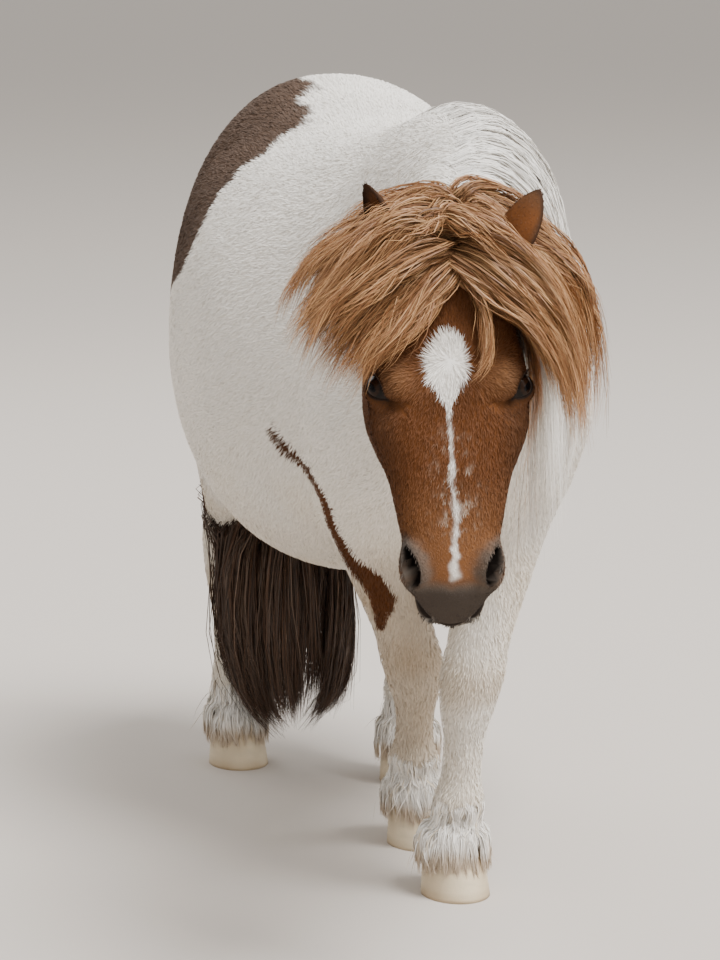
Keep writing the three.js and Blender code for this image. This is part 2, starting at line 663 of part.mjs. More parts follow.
head = head.add(joined(eyeFrames.map(lids)));
head = head.subtract(joined([...eyeFrames.map(lidOpening), ...nostrils, mouth]));
head = head.subtract(joined(eyeSockets));
const ears = joined(earSolids);
const forelock = joined(forelockLocks().map((one) => clearOf(one, ears, ...eyes)));
const skin = head.subtract(roomFor(ears));
parts.head = skin.add(forelock);
parts.ear_left = earSolids[0];
parts.ear_right = earSolids[1];
parts.eye_left = eyes[0];
parts.eye_right = eyes[1];

// The dock goes into the torso; the hair on it is cut clear of torso and legs.
const dock = tailCore.intersect(beyond([0, 0, TAIL_SPLIT], [0, 0, 1]));
parts.torso = torso.subtract(roomFor(dock));
parts.hindleg_left = clearOf(parts.hindleg_left, dock);
parts.hindleg_right = clearOf(parts.hindleg_right, dock);
const haunches = roomFor(joined([parts.torso, parts.hindleg_left, parts.hindleg_right]));
const tail = joined([tailCore, ...tailLocks()]).subtract(haunches).add(dock);
parts.tail_upper = tail.intersect(beyond([0, 0, TAIL_SPLIT], [0, 0, 1], GAP / 2));
parts.tail_lower = tail.intersect(beyond([0, 0, TAIL_SPLIT], [0, 0, -1], GAP / 2));
parts.neck = neckPart.add(joined(maneLocks().map((one) =>
  clearOf(one, parts.head, parts.ear_left, parts.torso, parts.foreleg_left))));

const coats = {
  white_coat: [0xe8e2d6, 0.85],
  chestnut_coat: [0x8a4f2a, 0.7],
  dark_hair: [0x4b362a, 0.75],
  horn: [0xcbb58c, 0.55],
  eye: [0x1a0f0a, 0.1],
};
const coatOf = (name) => {
  if (name.startsWith("hoof")) return "horn";
  if (name.startsWith("eye")) return "eye";
  if (name === "head" || name.startsWith("ear")) return "chestnut_coat";
  return name.startsWith("tail") ? "dark_hair" : "white_coat";
};
const materials = Object.fromEntries(Object.entries(coats).map(([name, [color, roughness]]) =>
  [name, new THREE.MeshStandardMaterial({ name, color, roughness, metalness: 0 })]));

const pony = new THREE.Group();
for (const [name, solid] of Object.entries(parts)) {
  const geometry = geometryOf(largestOf(solid)).translate(...ORIGIN_SHIFT.toArray());
  const mesh = new THREE.Mesh(geometry, materials[coatOf(name)]);
  mesh.name = name;
  pony.add(mesh);
}

export default pony;
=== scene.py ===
# A shetland pony, life size, walking with its head low. Metres, +Z up; it looks along -Y, its left is at +X.
# One skin is drawn over the same smooth forms as the solids, and coat and long hair grow on it.

import math

import bmesh
import bpy
import numpy as np
from mathutils import Matrix, Vector


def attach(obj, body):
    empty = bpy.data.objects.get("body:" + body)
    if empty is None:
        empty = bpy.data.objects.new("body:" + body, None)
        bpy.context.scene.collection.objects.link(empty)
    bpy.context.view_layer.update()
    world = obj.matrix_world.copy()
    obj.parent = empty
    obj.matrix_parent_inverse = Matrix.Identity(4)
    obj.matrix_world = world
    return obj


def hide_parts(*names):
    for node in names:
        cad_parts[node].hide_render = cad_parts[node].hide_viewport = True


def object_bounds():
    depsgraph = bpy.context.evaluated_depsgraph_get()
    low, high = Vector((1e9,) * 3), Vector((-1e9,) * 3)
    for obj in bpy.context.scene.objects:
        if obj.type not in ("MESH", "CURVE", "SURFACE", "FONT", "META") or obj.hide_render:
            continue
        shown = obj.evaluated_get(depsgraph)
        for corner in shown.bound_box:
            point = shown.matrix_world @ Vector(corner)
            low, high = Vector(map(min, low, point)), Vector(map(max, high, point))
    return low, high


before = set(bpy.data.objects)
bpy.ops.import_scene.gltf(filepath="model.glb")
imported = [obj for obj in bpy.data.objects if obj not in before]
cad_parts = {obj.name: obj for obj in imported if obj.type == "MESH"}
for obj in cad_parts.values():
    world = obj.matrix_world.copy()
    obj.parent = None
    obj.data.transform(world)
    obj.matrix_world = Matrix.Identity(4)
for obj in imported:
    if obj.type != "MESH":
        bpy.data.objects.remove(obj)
cad_low, cad_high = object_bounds()

# Driving dimensions
WITHERS_HEIGHT = 0.9
HEAD_LENGTH = 0.39
EYE_RADIUS = 0.018
MM = 0.001
BODY_UNIT = WITHERS_HEIGHT / 100
HEAD_UNIT = HEAD_LENGTH / 100
ORIGIN_SHIFT = (0.016, 0.128, 0)

# How the head is carried
POLL = np.array([-13.8, -72.6, 87])
NOSE_DOWN = math.radians(67)
HEAD_TURN = math.radians(-13.3)

# How widely two forms flow into each other
BODY_BLEND = 0.046
HEAD_BLEND = 0.015

SKIN_STEP = 0.007
SHARE = 1.0

IN_BODY = np.array(Matrix.Translation(ORIGIN_SHIFT))
IN_HEAD = np.array(
    Matrix.Translation(Vector(ORIGIN_SHIFT) + Vector(POLL * BODY_UNIT))
    @ Matrix.Rotation(HEAD_TURN, 4, "Z")
    @ Matrix.Rotation(NOSE_DOWN, 4, "X")
)

random = np.random.default_rng(7)


# Vectors and numbers
def unit(vectors):
    return vectors / np.maximum(np.linalg.norm(vectors, axis=-1, keepdims=True), 1e-9)


def dot(a, b):
    return np.sum(a * b, axis=-1)


def moved(points, matrix):
    return points @ matrix[:3, :3].T + matrix[:3, 3]


def step(low, high, value):
    """0 below low, 1 above high, and smooth between them."""
    share = np.clip((value - low) / (high - low), 0, 1)
    return share * share * (3 - 2 * share)


def mix(a, b, share):
    return a + (b - a) * share


def tint(colours, other, share):
    """Colours moved towards another by a share for each point."""
    return colours + (other - colours) * np.asarray(share)[:, None]


def smooth_row(rows, shares):
    """The rows' values at shares of their length, along a curve through them."""
    rows = np.asarray(rows, float)
    rows = np.vstack([2 * rows[0] - rows[1], rows, 2 * rows[-1] - rows[-2]])
    place = np.clip(shares, 0, 1) * (len(rows) - 3)
    first = np.minimum(place.astype(int), len(rows) - 4)
    w = (place - first)[:, None]
    a, b, c, d = (rows[first + k] for k in range(4))
    leave, arrive = (c - a) / 2, (d - b) / 2
    return b + w * leave + w**2 * (3 * (c - b) - 2 * leave - arrive) + w**3 * (2 * (b - c) + leave + arrive)


def noise(points, size, seed=0):
    """Smooth noise from -1 to 1 with lumps of that size."""
    place = points / size + seed * 17.3
    cell = np.floor(place).astype(np.int64)
    share = place - cell
    share = share * share * (3 - 2 * share)
    total = np.zeros(len(points))
    for corner in np.ndindex(2, 2, 2):
        at = cell + np.array(corner)
        # large primes mix the cell's numbers into one value from -1 to 1
        key = (at[:, 0] * 73856093) ^ (at[:, 1] * 19349663) ^ (at[:, 2] * 83492791) ^ (seed * 2654435761)
        key = (key ^ (key >> 13)) * 1274126177 & 0x7FFFFFFF
        value = ((key ^ (key >> 16)) & 0xFFFF) / 32767.5 - 1
        weight = np.prod(np.where(np.array(corner) == 1, share, 1 - share), axis=1)
        total += value * weight
    return total


OVAL = 2
FORM_SAMPLES = 161


# Smooth rows of oval rings, as in the solids. A row holds the ring's centre x, y, z, its reach to the side,
# up and down (along Z: to the side, forward and back), and how square it is above and below.
class Form:
    def __init__(self, table, axis=1, scale=BODY_UNIT, place=IN_BODY, blend=BODY_BLEND):
        square = [(*row[6:], row[6]) if len(row) > 6 else (OVAL, OVAL) for row in table]
        rows = np.array([[*row[:6], *bend[:2]] for row, bend in zip(table, square)], float)
        rows[:, :6] *= scale
        self.shares = np.linspace(0, 1, FORM_SAMPLES)
        self.samples = smooth_row(rows, self.shares)
        self.samples[:, 3:6] = np.maximum(self.samples[:, 3:6], 0.5 * MM)
        if self.samples[0, axis] > self.samples[-1, axis]:
            self.samples = self.samples[::-1]
            self.shares = self.shares[::-1]
        self.rows, self.axis, self.place, self.blend = rows, axis, place, blend
        self.inverse = np.linalg.inv(place)
        margin = self.samples[:, 3:6].max() + 0.1
        self.low = self.samples[:, :3].min(0) - margin
        self.high = self.samples[:, :3].max(0) + margin

    def _local(self, points):
        local = moved(points, self.inverse)
        along = local[:, self.axis]
        row = [np.interp(along, self.samples[:, self.axis], self.samples[:, k]) for k in range(8)]
        side = local[:, 0] - row[0]
        tall = local[:, 2] - row[2] if self.axis == 1 else row[1] - local[:, 1]
        return along, row, side, tall

    def distance(self, points):
        """How far points are outside the form, or inside it where that is less than nothing."""
        along, row, side, tall = self._local(points)
        height, bend = np.where(tall >= 0, row[4], row[5]), np.where(tall >= 0, row[6], row[7])
        size = ((np.abs(side) / row[3]) ** bend + (np.abs(tall) / height) ** bend) ** (1 / bend)
        radial = np.hypot(side, tall) * (1 - 1 / np.maximum(size, 0.05))
        radial = np.where(size > 0.05, radial, -np.minimum(row[3], height))
        ends = self.samples[[0, -1], self.axis]
        beyond = along - np.clip(along, *ends)
        return np.where(beyond == 0, radial, np.hypot(np.maximum(radial, 0), beyond))

    def near(self, points):
        local = moved(points, self.inverse)
        return np.all((local > self.low) & (local < self.high), axis=1)

    def place_of(self, points):
        """The share of its length and the angle round it, from 0 to 1, of points near the form."""
        along, _, side, tall = self._local(points)
        share = np.interp(along, self.samples[:, self.axis], self.shares)
        return share, np.arctan2(tall, side) / (2 * np.pi) + 0.5

    def point(self, shares, angles, lift=0.0):
        """Points at shares of its length and angles round it, where 0 is its left and 90 degrees its top."""
        rows = smooth_row(self.rows, shares)
        reach = np.maximum(rows[:, 3:6], 0.5 * MM)
        c, s = np.cos(angles), np.sin(angles)
        bend = 2 / np.where(s >= 0, rows[:, 6], rows[:, 7])
        side = (reach[:, 0] + lift) * np.sign(c) * np.abs(c) ** bend
        tall = (np.where(s >= 0, reach[:, 1], reach[:, 2]) + lift) * np.sign(s) * np.abs(s) ** bend
        flat = np.zeros_like(side)
        offset = [side, flat, tall] if self.axis == 1 else [side, -tall, flat]
        return moved(rows[:, :3] + np.stack(offset, 1), self.place)


# An oval swelling of the head, in its frame and units
class Lump:
    def __init__(self, centre, radii, blend=HEAD_BLEND):
        self.centre = np.array(centre) * HEAD_UNIT
        self.radii = np.array(radii) * HEAD_UNIT
        self.blend = blend
        self.inverse = np.linalg.inv(IN_HEAD)

    def distance(self, points):
        offset = moved(points, self.inverse) - self.centre
        size = np.linalg.norm(offset / self.radii, axis=1)
        return np.linalg.norm(offset, axis=1) * (1 - 1 / np.maximum(size, 0.05))

    def near(self, points):
        offset = moved(points, self.inverse) - self.centre
        return np.linalg.norm(offset, axis=1) < self.radii.max() + 0.08


trunk = Form([
    (-1.5, -47.5, 62, 2, 2, 2),
    (-1.5, -45.5, 62, 9, 9, 8),
    (-1.5, -41, 62.5, 13.5, 17, 13.5),
    (-1.5, -34, 64, 16, 29, 18, 1.9, 2),
    (-1.2, -26, 65, 17.5, 34, 20.5, 1.7, 2),
    (-0.4, -17, 65, 22.5, 33.5, 24.5, 1.8, 2.2),
    (0, -5, 65, 27.6, 31.5, 28, 2.1, 2.3),
    (0, 8, 65, 28.8, 31.8, 30, 2.2, 2.2),
    (0, 20, 66.5, 27.3, 33.6, 26, 2.2, 2.1),
    (0, 31, 70, 24, 33.1, 22.5, 2.2, 2),
    (0, 41, 72, 19, 29, 20, 2.1, 2),
    (0, 48, 73, 13.5, 20.5, 16.5),
    (0, 51.2, 73, 8.4, 13, 11),
    (0, 52.4, 73, 4.4, 7, 6),
])

neck = Form([
    (-0.8, -20, 78, 10, 17, 20),
    (-1, -30, 79, 13, 21, 24),
    (-1.8, -40, 80, 12, 19.5, 21.5),
    (-4, -50, 80.5, 10.8, 17.5, 18),
    (-7.2, -59, 80.5, 9.8, 15, 15),
    (-10.6, -67, 80, 9, 11.5, 12.5),
    (-13, -72, 79.5, 7.5, 8, 9),
    (-14, -74, 79.5, 3, 3, 3),
])


def limb(joints, rings):
    """A leg whose rings are set along its joints: 0 is the first joint, 1 the next and so on."""
    path = smooth_row(joints, np.array([ring[0] for ring in rings]) / (len(joints) - 1))
    return Form([(*place, *ring[1:]) for place, ring in zip(path, rings)], axis=2)


# Foreleg: top of the shoulder blade, point of the shoulder, elbow, knee, fetlock, pastern, foot
FORE_RINGS = [
    (0, 3, 4, 4),
    (0.3, 5.5, 9, 8),
    (1, 6.8, 12, 13),
    (1.6, 6.4, 10, 10),
    (2, 5.8, 7.6, 7.4),
    (2.35, 4.9, 5.8, 5.8),
    (2.75, 4, 4.4, 4.3),
    (2.98, 4.1, 4.6, 4.1),
    (3.2, 3.5, 3.9, 3.7),
    (3.45, 2.6, 2.9, 3),
    (3.75, 2.5, 2.8, 3.1),
    (4, 3.1, 3.6, 4.1),
    (4.4, 2.8, 3.3, 3.6),
    (5, 3.7, 4.2, 4),
    (6, 3.9, 4.6, 4),
]

# Hindleg: hip, thigh, stifle, hock, fetlock, pastern, foot
HIND_RINGS = [
    (0, 3, 5, 5),
    (0.3, 6.5, 12, 10),
    (0.7, 8.5, 16, 14),
    (1, 9, 17.5, 16),
    (1.5, 8.6, 15.5, 14.5),
    (2, 7, 12, 11.5),
    (2.35, 5.5, 8.6, 9),
    (2.7, 4.2, 6.2, 7.4),
    (3, 3.9, 5.2, 6.4),
    (3.25, 3.5, 4.4, 4.7),
    (3.5, 2.7, 3.3, 3.5),
    (3.75, 2.6, 3, 3.3),
    (4, 3.2, 3.6, 4.2),
    (4.4, 2.9, 3.3, 3.7),
    (5, 3.7, 4.2, 4),
    (6, 3.9, 4.6, 4),
]

legs = {
    "fore_left": limb([(5.5, -22, 88), (9.5, -32, 66), (6.6, -31, 48), (0.5, -35.4, 28.5),
                       (-0.9, -34.6, 12.5), (-1.4, -33.8, 7.5), (-1.5, -34.2, 1)], FORE_RINGS),
    "fore_right": limb([(-6, -22, 88), (-11.6, -31, 66), (-10.4, -26, 48), (-2.4, -17.6, 27),
                        (-0.2, -11, 12.5), (0.5, -9.6, 7.5), (0.7, -9.8, 1)], FORE_RINGS),
    "hind_left": limb([(7, 34, 92), (13.5, 32, 68), (13.4, 25, 47), (10.6, 32, 33.5),
                       (8.8, 25, 12.5), (8.6, 23.6, 7.5), (8.6, 23.1, 1)], HIND_RINGS),
    "hind_right": limb([(-7, 34, 92), (-13.5, 33.5, 68), (-14, 31, 47), (-13.4, 44, 33.5),
                        (-13.3, 42.4, 12.5), (-13.4, 40.8, 7.5), (-13.4, 40, 1)], HIND_RINGS),
}

# Head, in its own frame: the poll is the origin, the nose points along -Y and the forehead up.
IN_SKULL = {"scale": HEAD_UNIT, "place": IN_HEAD, "blend": HEAD_BLEND}
skull = Form([
    (0, 1, -7, 5, 3, 5),
    (0, -3, -7, 10.5, 7, 9),
    (0, -12, -8, 15, 10, 12),
    (0, -25, -9, 18.6, 11.8, 14, 2.3),
    (0, -36, -9, 20.4, 11.8, 15, 2.5),
    (0, -47, -9.5, 20.6, 10.6, 15, 2.5),
    (0, -59, -10.5, 16.4, 9.8, 12, 2.4),
    (0, -72, -11.5, 13.6, 9, 10, 2.3),
    (0, -81, -12, 12.2, 8.4, 9.5),
    (0, -88, -13, 11, 7.2, 8.4),
    (0, -91.6, -14.3, 9.2, 6, 6.4),
    (0, -94, -15.4, 6.6, 4.4, 4.6),
    (0, -94.9, -16, 3.8, 2.4, 2.8),
    (0, -95.1, -16.2, 1, 0.8, 1),
], **IN_SKULL)
jaw = Form([
    (0, -8, -26, 5, 5, 5),
    (0, -13, -26, 12, 10, 9),
    (0, -25, -26, 17.6, 14, 12.3, 2.2),
    (0, -38, -25, 20, 15, 12, 2.2),
    (0, -49, -24, 19, 13, 10, 2.1),
    (0, -59, -23.5, 14.4, 11, 8),
    (0, -70, -23, 10.8, 9, 6),
    (0, -80, -22.8, 9.8, 8, 6),
    (0, -87, -22.6, 9.8, 6, 5.6),
    (0, -90.4, -22, 8.6, 4, 4.8),
    (0, -92.6, -21.6, 5.8, 2.4, 3.2),
    (0, -93.4, -21.4, 2, 1, 1.2),
], **IN_SKULL)

lumps = [lump for side in (-1, 1) for lump in (
    Lump((side * 14.6, -35.5, -4.4), (6, 8, 7)),
    Lump((side * 16.4, -33, -24), (5.4, 15, 13)),
    Lump((side * 9.6, -84, -9.4), (3.7, 6.4, 6)),
)]
forms = [trunk, neck, skull, jaw, *legs.values(), *lumps]


def outside(points):
    """How far points are outside all the forms, where near forms flow into each other."""
    nearest = np.full(len(points), 1.0)
    blend = np.full(len(points), HEAD_BLEND)
    for form in forms:
        near = form.near(points)
        if not near.any():
            continue
        here, old, own = form.distance(points[near]), nearest[near], blend[near]
        width = np.minimum(own, form.blend)
        overlap = np.maximum(width - np.abs(old - here), 0) / width
        blend[near] = np.where(here < old, form.blend, own)
        nearest[near] = np.minimum(old, here) - overlap**2 * width / 4
    return nearest


def way_out(points, distance=outside):
    """The direction out of the flesh."""
    here = distance(points)
    return unit(np.stack([distance(points + np.eye(3)[k] * MM) - here for k in range(3)], 1))


def lifted(points, lift, passes=3):
    """Points moved until they are that far outside the flesh."""
    for _ in range(passes):
        points = points + way_out(points) * (lift - outside(points))[:, None]
    return points


def kept_out(points, lift):
    """Points that lie deeper than a lift above the flesh are moved out to it."""
    gap = lift - outside(points)
    low = gap > 0
    if low.any():
        points = points.copy()
        points[low] += way_out(points[low]) * np.broadcast_to(gap, len(points))[low, None]
    return points


def head_place(points):
    """Places in the head, in hundredths of its length: to its left, against the nose, to the forehead."""
    return moved(points, np.linalg.inv(IN_HEAD)) / HEAD_UNIT


def head_point(values):
    return moved(np.asarray(values, float) * HEAD_UNIT, IN_HEAD)


def on_head(points):
    """How much a point belongs to the head, from 0 to 1."""
    distance = np.minimum(skull.distance(points), jaw.distance(points))
    return step(0.02, 0.004, distance) * step(0.0, -10.0, head_place(points)[:, 1])


# How deep the skin lies below the ends of the coat
COAT_DEPTH = 0.0042
LEG_DEPTH = 0.002
FACE_DEPTH = 0.002


def coat_depth(points):
    depth = mix(LEG_DEPTH, COAT_DEPTH, step(0.26, 0.42, points[:, 2]))
    return mix(depth, FACE_DEPTH, on_head(points))


def skin_outside(points):
    return outside(points) + coat_depth(points)


# A surface of quads where a field changes sign
def surface_of(field, low, high, size):
    counts = np.ceil((np.array(high) - low) / size).astype(int) + 1
    axes = [low[k] + size * np.arange(counts[k]) for k in range(3)]
    grid = np.stack(np.meshgrid(*axes, indexing="ij"), -1)
    values = field(grid.reshape(-1, 3)).reshape(counts)
    total = np.zeros((*(counts - 1), 4))
    quads = []
    number = np.arange(np.prod(counts - 1)).reshape(counts - 1)
    for k in range(3):
        first = [slice(None)] * 3
        second = [slice(None)] * 3
        first[k], second[k] = slice(0, -1), slice(1, None)
        a, b = values[tuple(first)], values[tuple(second)]
        crossing = (a < 0) != (b < 0)
        share = np.where(crossing, a / np.where(crossing, a - b, 1), 0)
        place = grid[tuple(first)].copy()
        place[..., k] += share * size
        found = np.concatenate([place, np.ones_like(place[..., :1])], -1) * crossing[..., None]
        p, q = (k + 1) % 3, (k + 2) % 3
        for dp in (0, 1):
            for dq in (0, 1):
                source = [slice(None)] * 3
                source[p] = slice(dp, counts[p] - 1 + dp)
                source[q] = slice(dq, counts[q] - 1 + dq)
                total += found[tuple(source)]
        inner = [slice(None)] * 3
        inner[p] = inner[q] = slice(1, -1)
        where = np.argwhere(crossing[tuple(inner)])
        where[:, p] += 1
        where[:, q] += 1
        ring = []
        for dp, dq in ((0, 0), (-1, 0), (-1, -1), (0, -1)):
            cell = where.copy()
            cell[:, p] += dp
            cell[:, q] += dq
            ring.append(number[tuple(cell.T)])
        ring = np.stack(ring, 1)
        rising = a[tuple(where.T)] < 0
        quads.append(np.where(rising[:, None], ring, ring[:, ::-1]))
    quads = np.concatenate(quads)
    used, quads = np.unique(quads, return_inverse=True)
    cells = total.reshape(-1, 4)[used]
    return cells[:, :3] / cells[:, 3:], quads.reshape(-1, 4)


# Meshes and their colours
def tube_faces(rings, count):
    """Quads between closed rings of points, each ring with that count."""
    first = np.arange(rings - 1)[:, None] * count + np.arange(count)
    after = np.arange(rings - 1)[:, None] * count + (np.arange(count) + 1) % count
    return np.stack([first, after, after + count, first + count], -1).reshape(-1, 4)


def mesh_of(name, points, faces):
    mesh = bpy.data.meshes.new(name)
    mesh.vertices.add(len(points))
    mesh.vertices.foreach_set("co", np.ascontiguousarray(points, np.float32).ravel())
    mesh.loops.add(faces.size)
    mesh.loops.foreach_set("vertex_index", np.ascontiguousarray(faces, np.int32).ravel())
    mesh.polygons.add(len(faces))
    mesh.polygons.foreach_set("loop_start", np.arange(0, faces.size, faces.shape[1], dtype=np.int32))
    mesh.polygons.foreach_set("use_smooth", np.ones(len(faces), bool))
    mesh.update(calc_edges=True)
    return mesh


def points_of(mesh):
    points = np.empty(len(mesh.vertices) * 3, np.float32)
    mesh.vertices.foreach_get("co", points)
    return points.reshape(-1, 3).astype(float)


def set_points(mesh, points):
    mesh.vertices.foreach_set("co", points.astype(np.float32).ravel())
    mesh.update()


def normals_of(mesh):
    normals = np.empty(len(mesh.vertices) * 3, np.float32)
    mesh.vertices.foreach_get("normal", normals)
    return normals.reshape(-1, 3).astype(float)


def triangles_of(mesh):
    mesh.calc_loop_triangles()
    corners = np.empty(len(mesh.loop_triangles) * 3, np.int32)
    mesh.loop_triangles.foreach_get("vertices", corners)
    return corners.reshape(-1, 3)


def set_colours(mesh, colours):
    layer = mesh.color_attributes.new("coat", "FLOAT_COLOR", "POINT")
    four = np.ones((len(colours), 4), np.float32)
    four[:, :3] = np.clip(colours, 0, 1)
    layer.data.foreach_set("color", four.ravel())


def set_patches(mesh, uv, faces):
    layer = mesh.uv_layers.new(name="OFBake")
    layer.data.foreach_set("uv", np.ascontiguousarray(uv[faces.ravel()], np.float32).ravel())


def piece(name, mesh, material, nodes=()):
    made = bpy.data.objects.new(name, mesh)
    bpy.context.scene.collection.objects.link(made)
    mesh.materials.append(material)
    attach(made, "root")
    if nodes:
        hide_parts(*nodes)


# Materials
def shader(name, roughness, specular=0.5):
    material = bpy.data.materials.new(name)
    material.use_nodes = True
    tree = material.node_tree
    principled = tree.nodes["Principled BSDF"]
    principled.inputs["Roughness"].default_value = roughness
    principled.inputs["Specular IOR Level"].default_value = specular
    return material, tree, principled


def coloured(name, roughness, specular=0.5, grain=0.0, grain_size=0.002):
    """A material with the colours of the mesh, and with fine grain where that is wanted."""
    material, tree, principled = shader(name, roughness, specular)
    colour = tree.nodes.new("ShaderNodeAttribute")
    colour.attribute_name = "coat"
    tree.links.new(colour.outputs["Color"], principled.inputs["Base Color"])
    if grain:
        place = tree.nodes.new("ShaderNodeTexCoord")
        spots = tree.nodes.new("ShaderNodeTexNoise")
        spots.inputs["Scale"].default_value = 1 / grain_size
        spots.inputs["Detail"].default_value = 3
        bump = tree.nodes.new("ShaderNodeBump")
        bump.inputs["Strength"].default_value = grain
        bump.inputs["Distance"].default_value = grain_size / 4
        tree.links.new(place.outputs["Object"], spots.inputs["Vector"])
        tree.links.new(spots.outputs["Fac"], bump.inputs["Height"])
        tree.links.new(bump.outputs["Normal"], principled.inputs["Normal"])
    return material


skin_material = coloured("skin", roughness=0.7, specular=0.0, grain=0.5, grain_size=0.003)
coat_material = coloured("coat", roughness=0.7, specular=0.12)
long_hair_material = coloured("long_hair", roughness=0.5, specular=0.3)
horn_material = coloured("horn", roughness=0.5, grain=0.3, grain_size=0.004)
eye_material = coloured("eye", roughness=0.1, specular=0.12)

# Colours
WHITE = np.array([0.8, 0.765, 0.71])
CREAM = np.array([0.62, 0.52, 0.38])
# Dirt, and on the right foreleg also painted shade
STAIN_AND_SHADE = np.array([0.36, 0.25, 0.14])
CHESTNUT = np.array([0.115, 0.043, 0.016])
TAN = np.array([0.4, 0.21, 0.1])
BROWN = np.array([0.085, 0.042, 0.022])
GREY_BROWN = np.array([0.1, 0.066, 0.048])
MUZZLE = np.array([0.058, 0.046, 0.038])
DARK = np.array([0.02, 0.015, 0.013])
GOLD = np.array([0.52, 0.29, 0.13])
COPPER = np.array([0.3, 0.13, 0.05])
PALE = np.array([0.62, 0.55, 0.45])
DARK_HAIR = np.array([0.035, 0.022, 0.016])
TAUPE = np.array([0.13, 0.085, 0.06])
HORN = np.array([0.66, 0.55, 0.38])


def within(points, path, widths):
    """How far points are inside a band along a path, as a share of its width."""
    best = np.full(len(points), -9.0)
    path, widths = np.asarray(path, float), np.asarray(widths, float)
    if len(path) == 1:
        return 1 - np.linalg.norm((points - path[0]) / widths[0], axis=1)
    for a, b, wa, wb in zip(path, path[1:], widths, widths[1:]):
        share = np.clip(dot(points - a, b - a) / dot(b - a, b - a), 0, 1)
        gap = np.linalg.norm(points - a - share[:, None] * (b - a), axis=1)
        best = np.maximum(best, 1 - gap / mix(wa, wb, share))
    return best


# Brown patches of the body, as bands between points on it in body units, with their half widths
PATCHES = [
    ([(-21.7, -18.5, 58.6), (-20.1, -20.3, 56.2), (-18.3, -25, 53.6), (-17.3, -28.6, 50.9),
      (-15.7, -26.3, 46.6), (-13.6, -26, 42.5), (-11.3, -27.2, 40), (-9.2, -26.7, 37.2), (-8.2, -22, 32.6)],
     [0.8, 1, 1.2, 1.5, 1.9, 2.2, 2.4, 2.1, 0.8]),
    ([(14, 48, 90), (17, 47, 76)], [10, 6]),
    ([(26, 4, 76), (27, 13, 64)], [8, 6]),
]

PATCH_SHARPNESS = 8

# How far forward the brown of the right rump and thigh reaches at each height
RUMP_HEIGHTS = [32, 36, 42, 50, 60, 71.6, 76.2, 79.9, 83.3, 87.2, 90.5, 93.1, 96.9, 100.4]
RUMP_EDGE = [60, 42, 36.5, 31.5, 28.8, 24, 12.8, 9.8, 9.6, 11, 10.6, 9, 14, 25]
RUMP_SIDE = -5

# Heights above the floor between which colours change, in metres: white to cream, the dirt at the feet, and
# the rump's chestnut to grey brown. Stained knees lie between them.
CREAM_BELOW = (0.62, 0.25)
DIRTY_BELOW = (0.075, 0.055)
KNEE_HEIGHT = 0.25
GREY_FROM = (0.45, 0.62)

# The star and the stripe down the face, in head units: to its left and against the nose
STAR = ([(-0.4, -28.4), (-0.8, -31.6), (-1.2, -35), (-0.8, -40), (-0.4, -44)], [3.4, 5, 4.8, 2.6, 1])
STRIPE = ([(-0.4, -43), (0, -52), (0.3, -60), (0.7, -67), (0.9, -73), (0.5, -80), (0.2, -86.5)],
          [0.9, 0.6, 0.8, 0.9, 1.2, 0.9, 1.5])


def coat_colour(points):
    """The colour of the short coat and of the skin below it."""
    fine = noise(points, 0.012, 1)
    broad = noise(points, 0.06, 2)
    body = points / BODY_UNIT - np.array(ORIGIN_SHIFT) / BODY_UNIT
    colour = np.broadcast_to(WHITE, points.shape) * (1 + 0.04 * broad)[:, None]
    height = points[:, 2]
    low = step(*CREAM_BELOW, height)
    colour = tint(colour, CREAM, np.clip(0.4 * low + 0.3 * low * broad, 0, 1))
    # The right foreleg is darker between knee and fetlock: partly dirt and partly painted shade.
    stain_and_shade_leg = step(0.03, 0.0, legs["fore_right"].distance(points))
    stain_and_shade_leg = stain_and_shade_leg * step(0.42, 0.34, height) * step(0.08, 0.14, height)
    colour = tint(colour, STAIN_AND_SHADE, stain_and_shade_leg * np.clip(0.5 + 0.3 * broad, 0, 1))
    knees = step(0.045, 0.0, np.abs(height - KNEE_HEIGHT)) * (broad > -0.4)
    colour = tint(colour, STAIN_AND_SHADE, 0.35 * knees)
    colour = tint(colour, STAIN_AND_SHADE, 0.6 * step(*DIRTY_BELOW, height + 0.012 * fine))
    inside = np.max([within(body, *patch) for patch in PATCHES], axis=0) * PATCH_SHARPNESS
    rump = np.minimum(body[:, 1] - np.interp(body[:, 2], RUMP_HEIGHTS, RUMP_EDGE), RUMP_SIDE - body[:, 0])
    ragged = np.maximum(inside + 0.5 * fine, rump + 0.9 * fine + 1.2 * noise(points, 0.03, 5))
    brown = tint(CHESTNUT * 0.75, GREY_BROWN, step(*GREY_FROM, height)) * (1 + 0.2 * broad)[:, None]
    brown = tint(brown, BROWN * 0.6, 0.6 * step(0.6, 0.0, inside) * step(0.6, 0.5, height))
    colour = tint(colour, brown, step(-0.5, 0.6, ragged))
    colour = tint(colour, face_colour(points), on_face(points))
    share = on_ear(points)[:, None]
    return colour * (1 - share) + ear_colour(points) * share


def on_face(points):
    """Where the coat is the head's: as far as behind the jaw and the ears."""
    place = head_place(points)
    edge = np.minimum(skull.distance(points), jaw.distance(points)) / MM
    behind = place[:, 1] + 0.35 * (place[:, 2] + 20)
    ragged = 2.5 * noise(points, 0.02, 6)
    return step(3.0, -1.0, behind + ragged) * step(30, 12, edge)


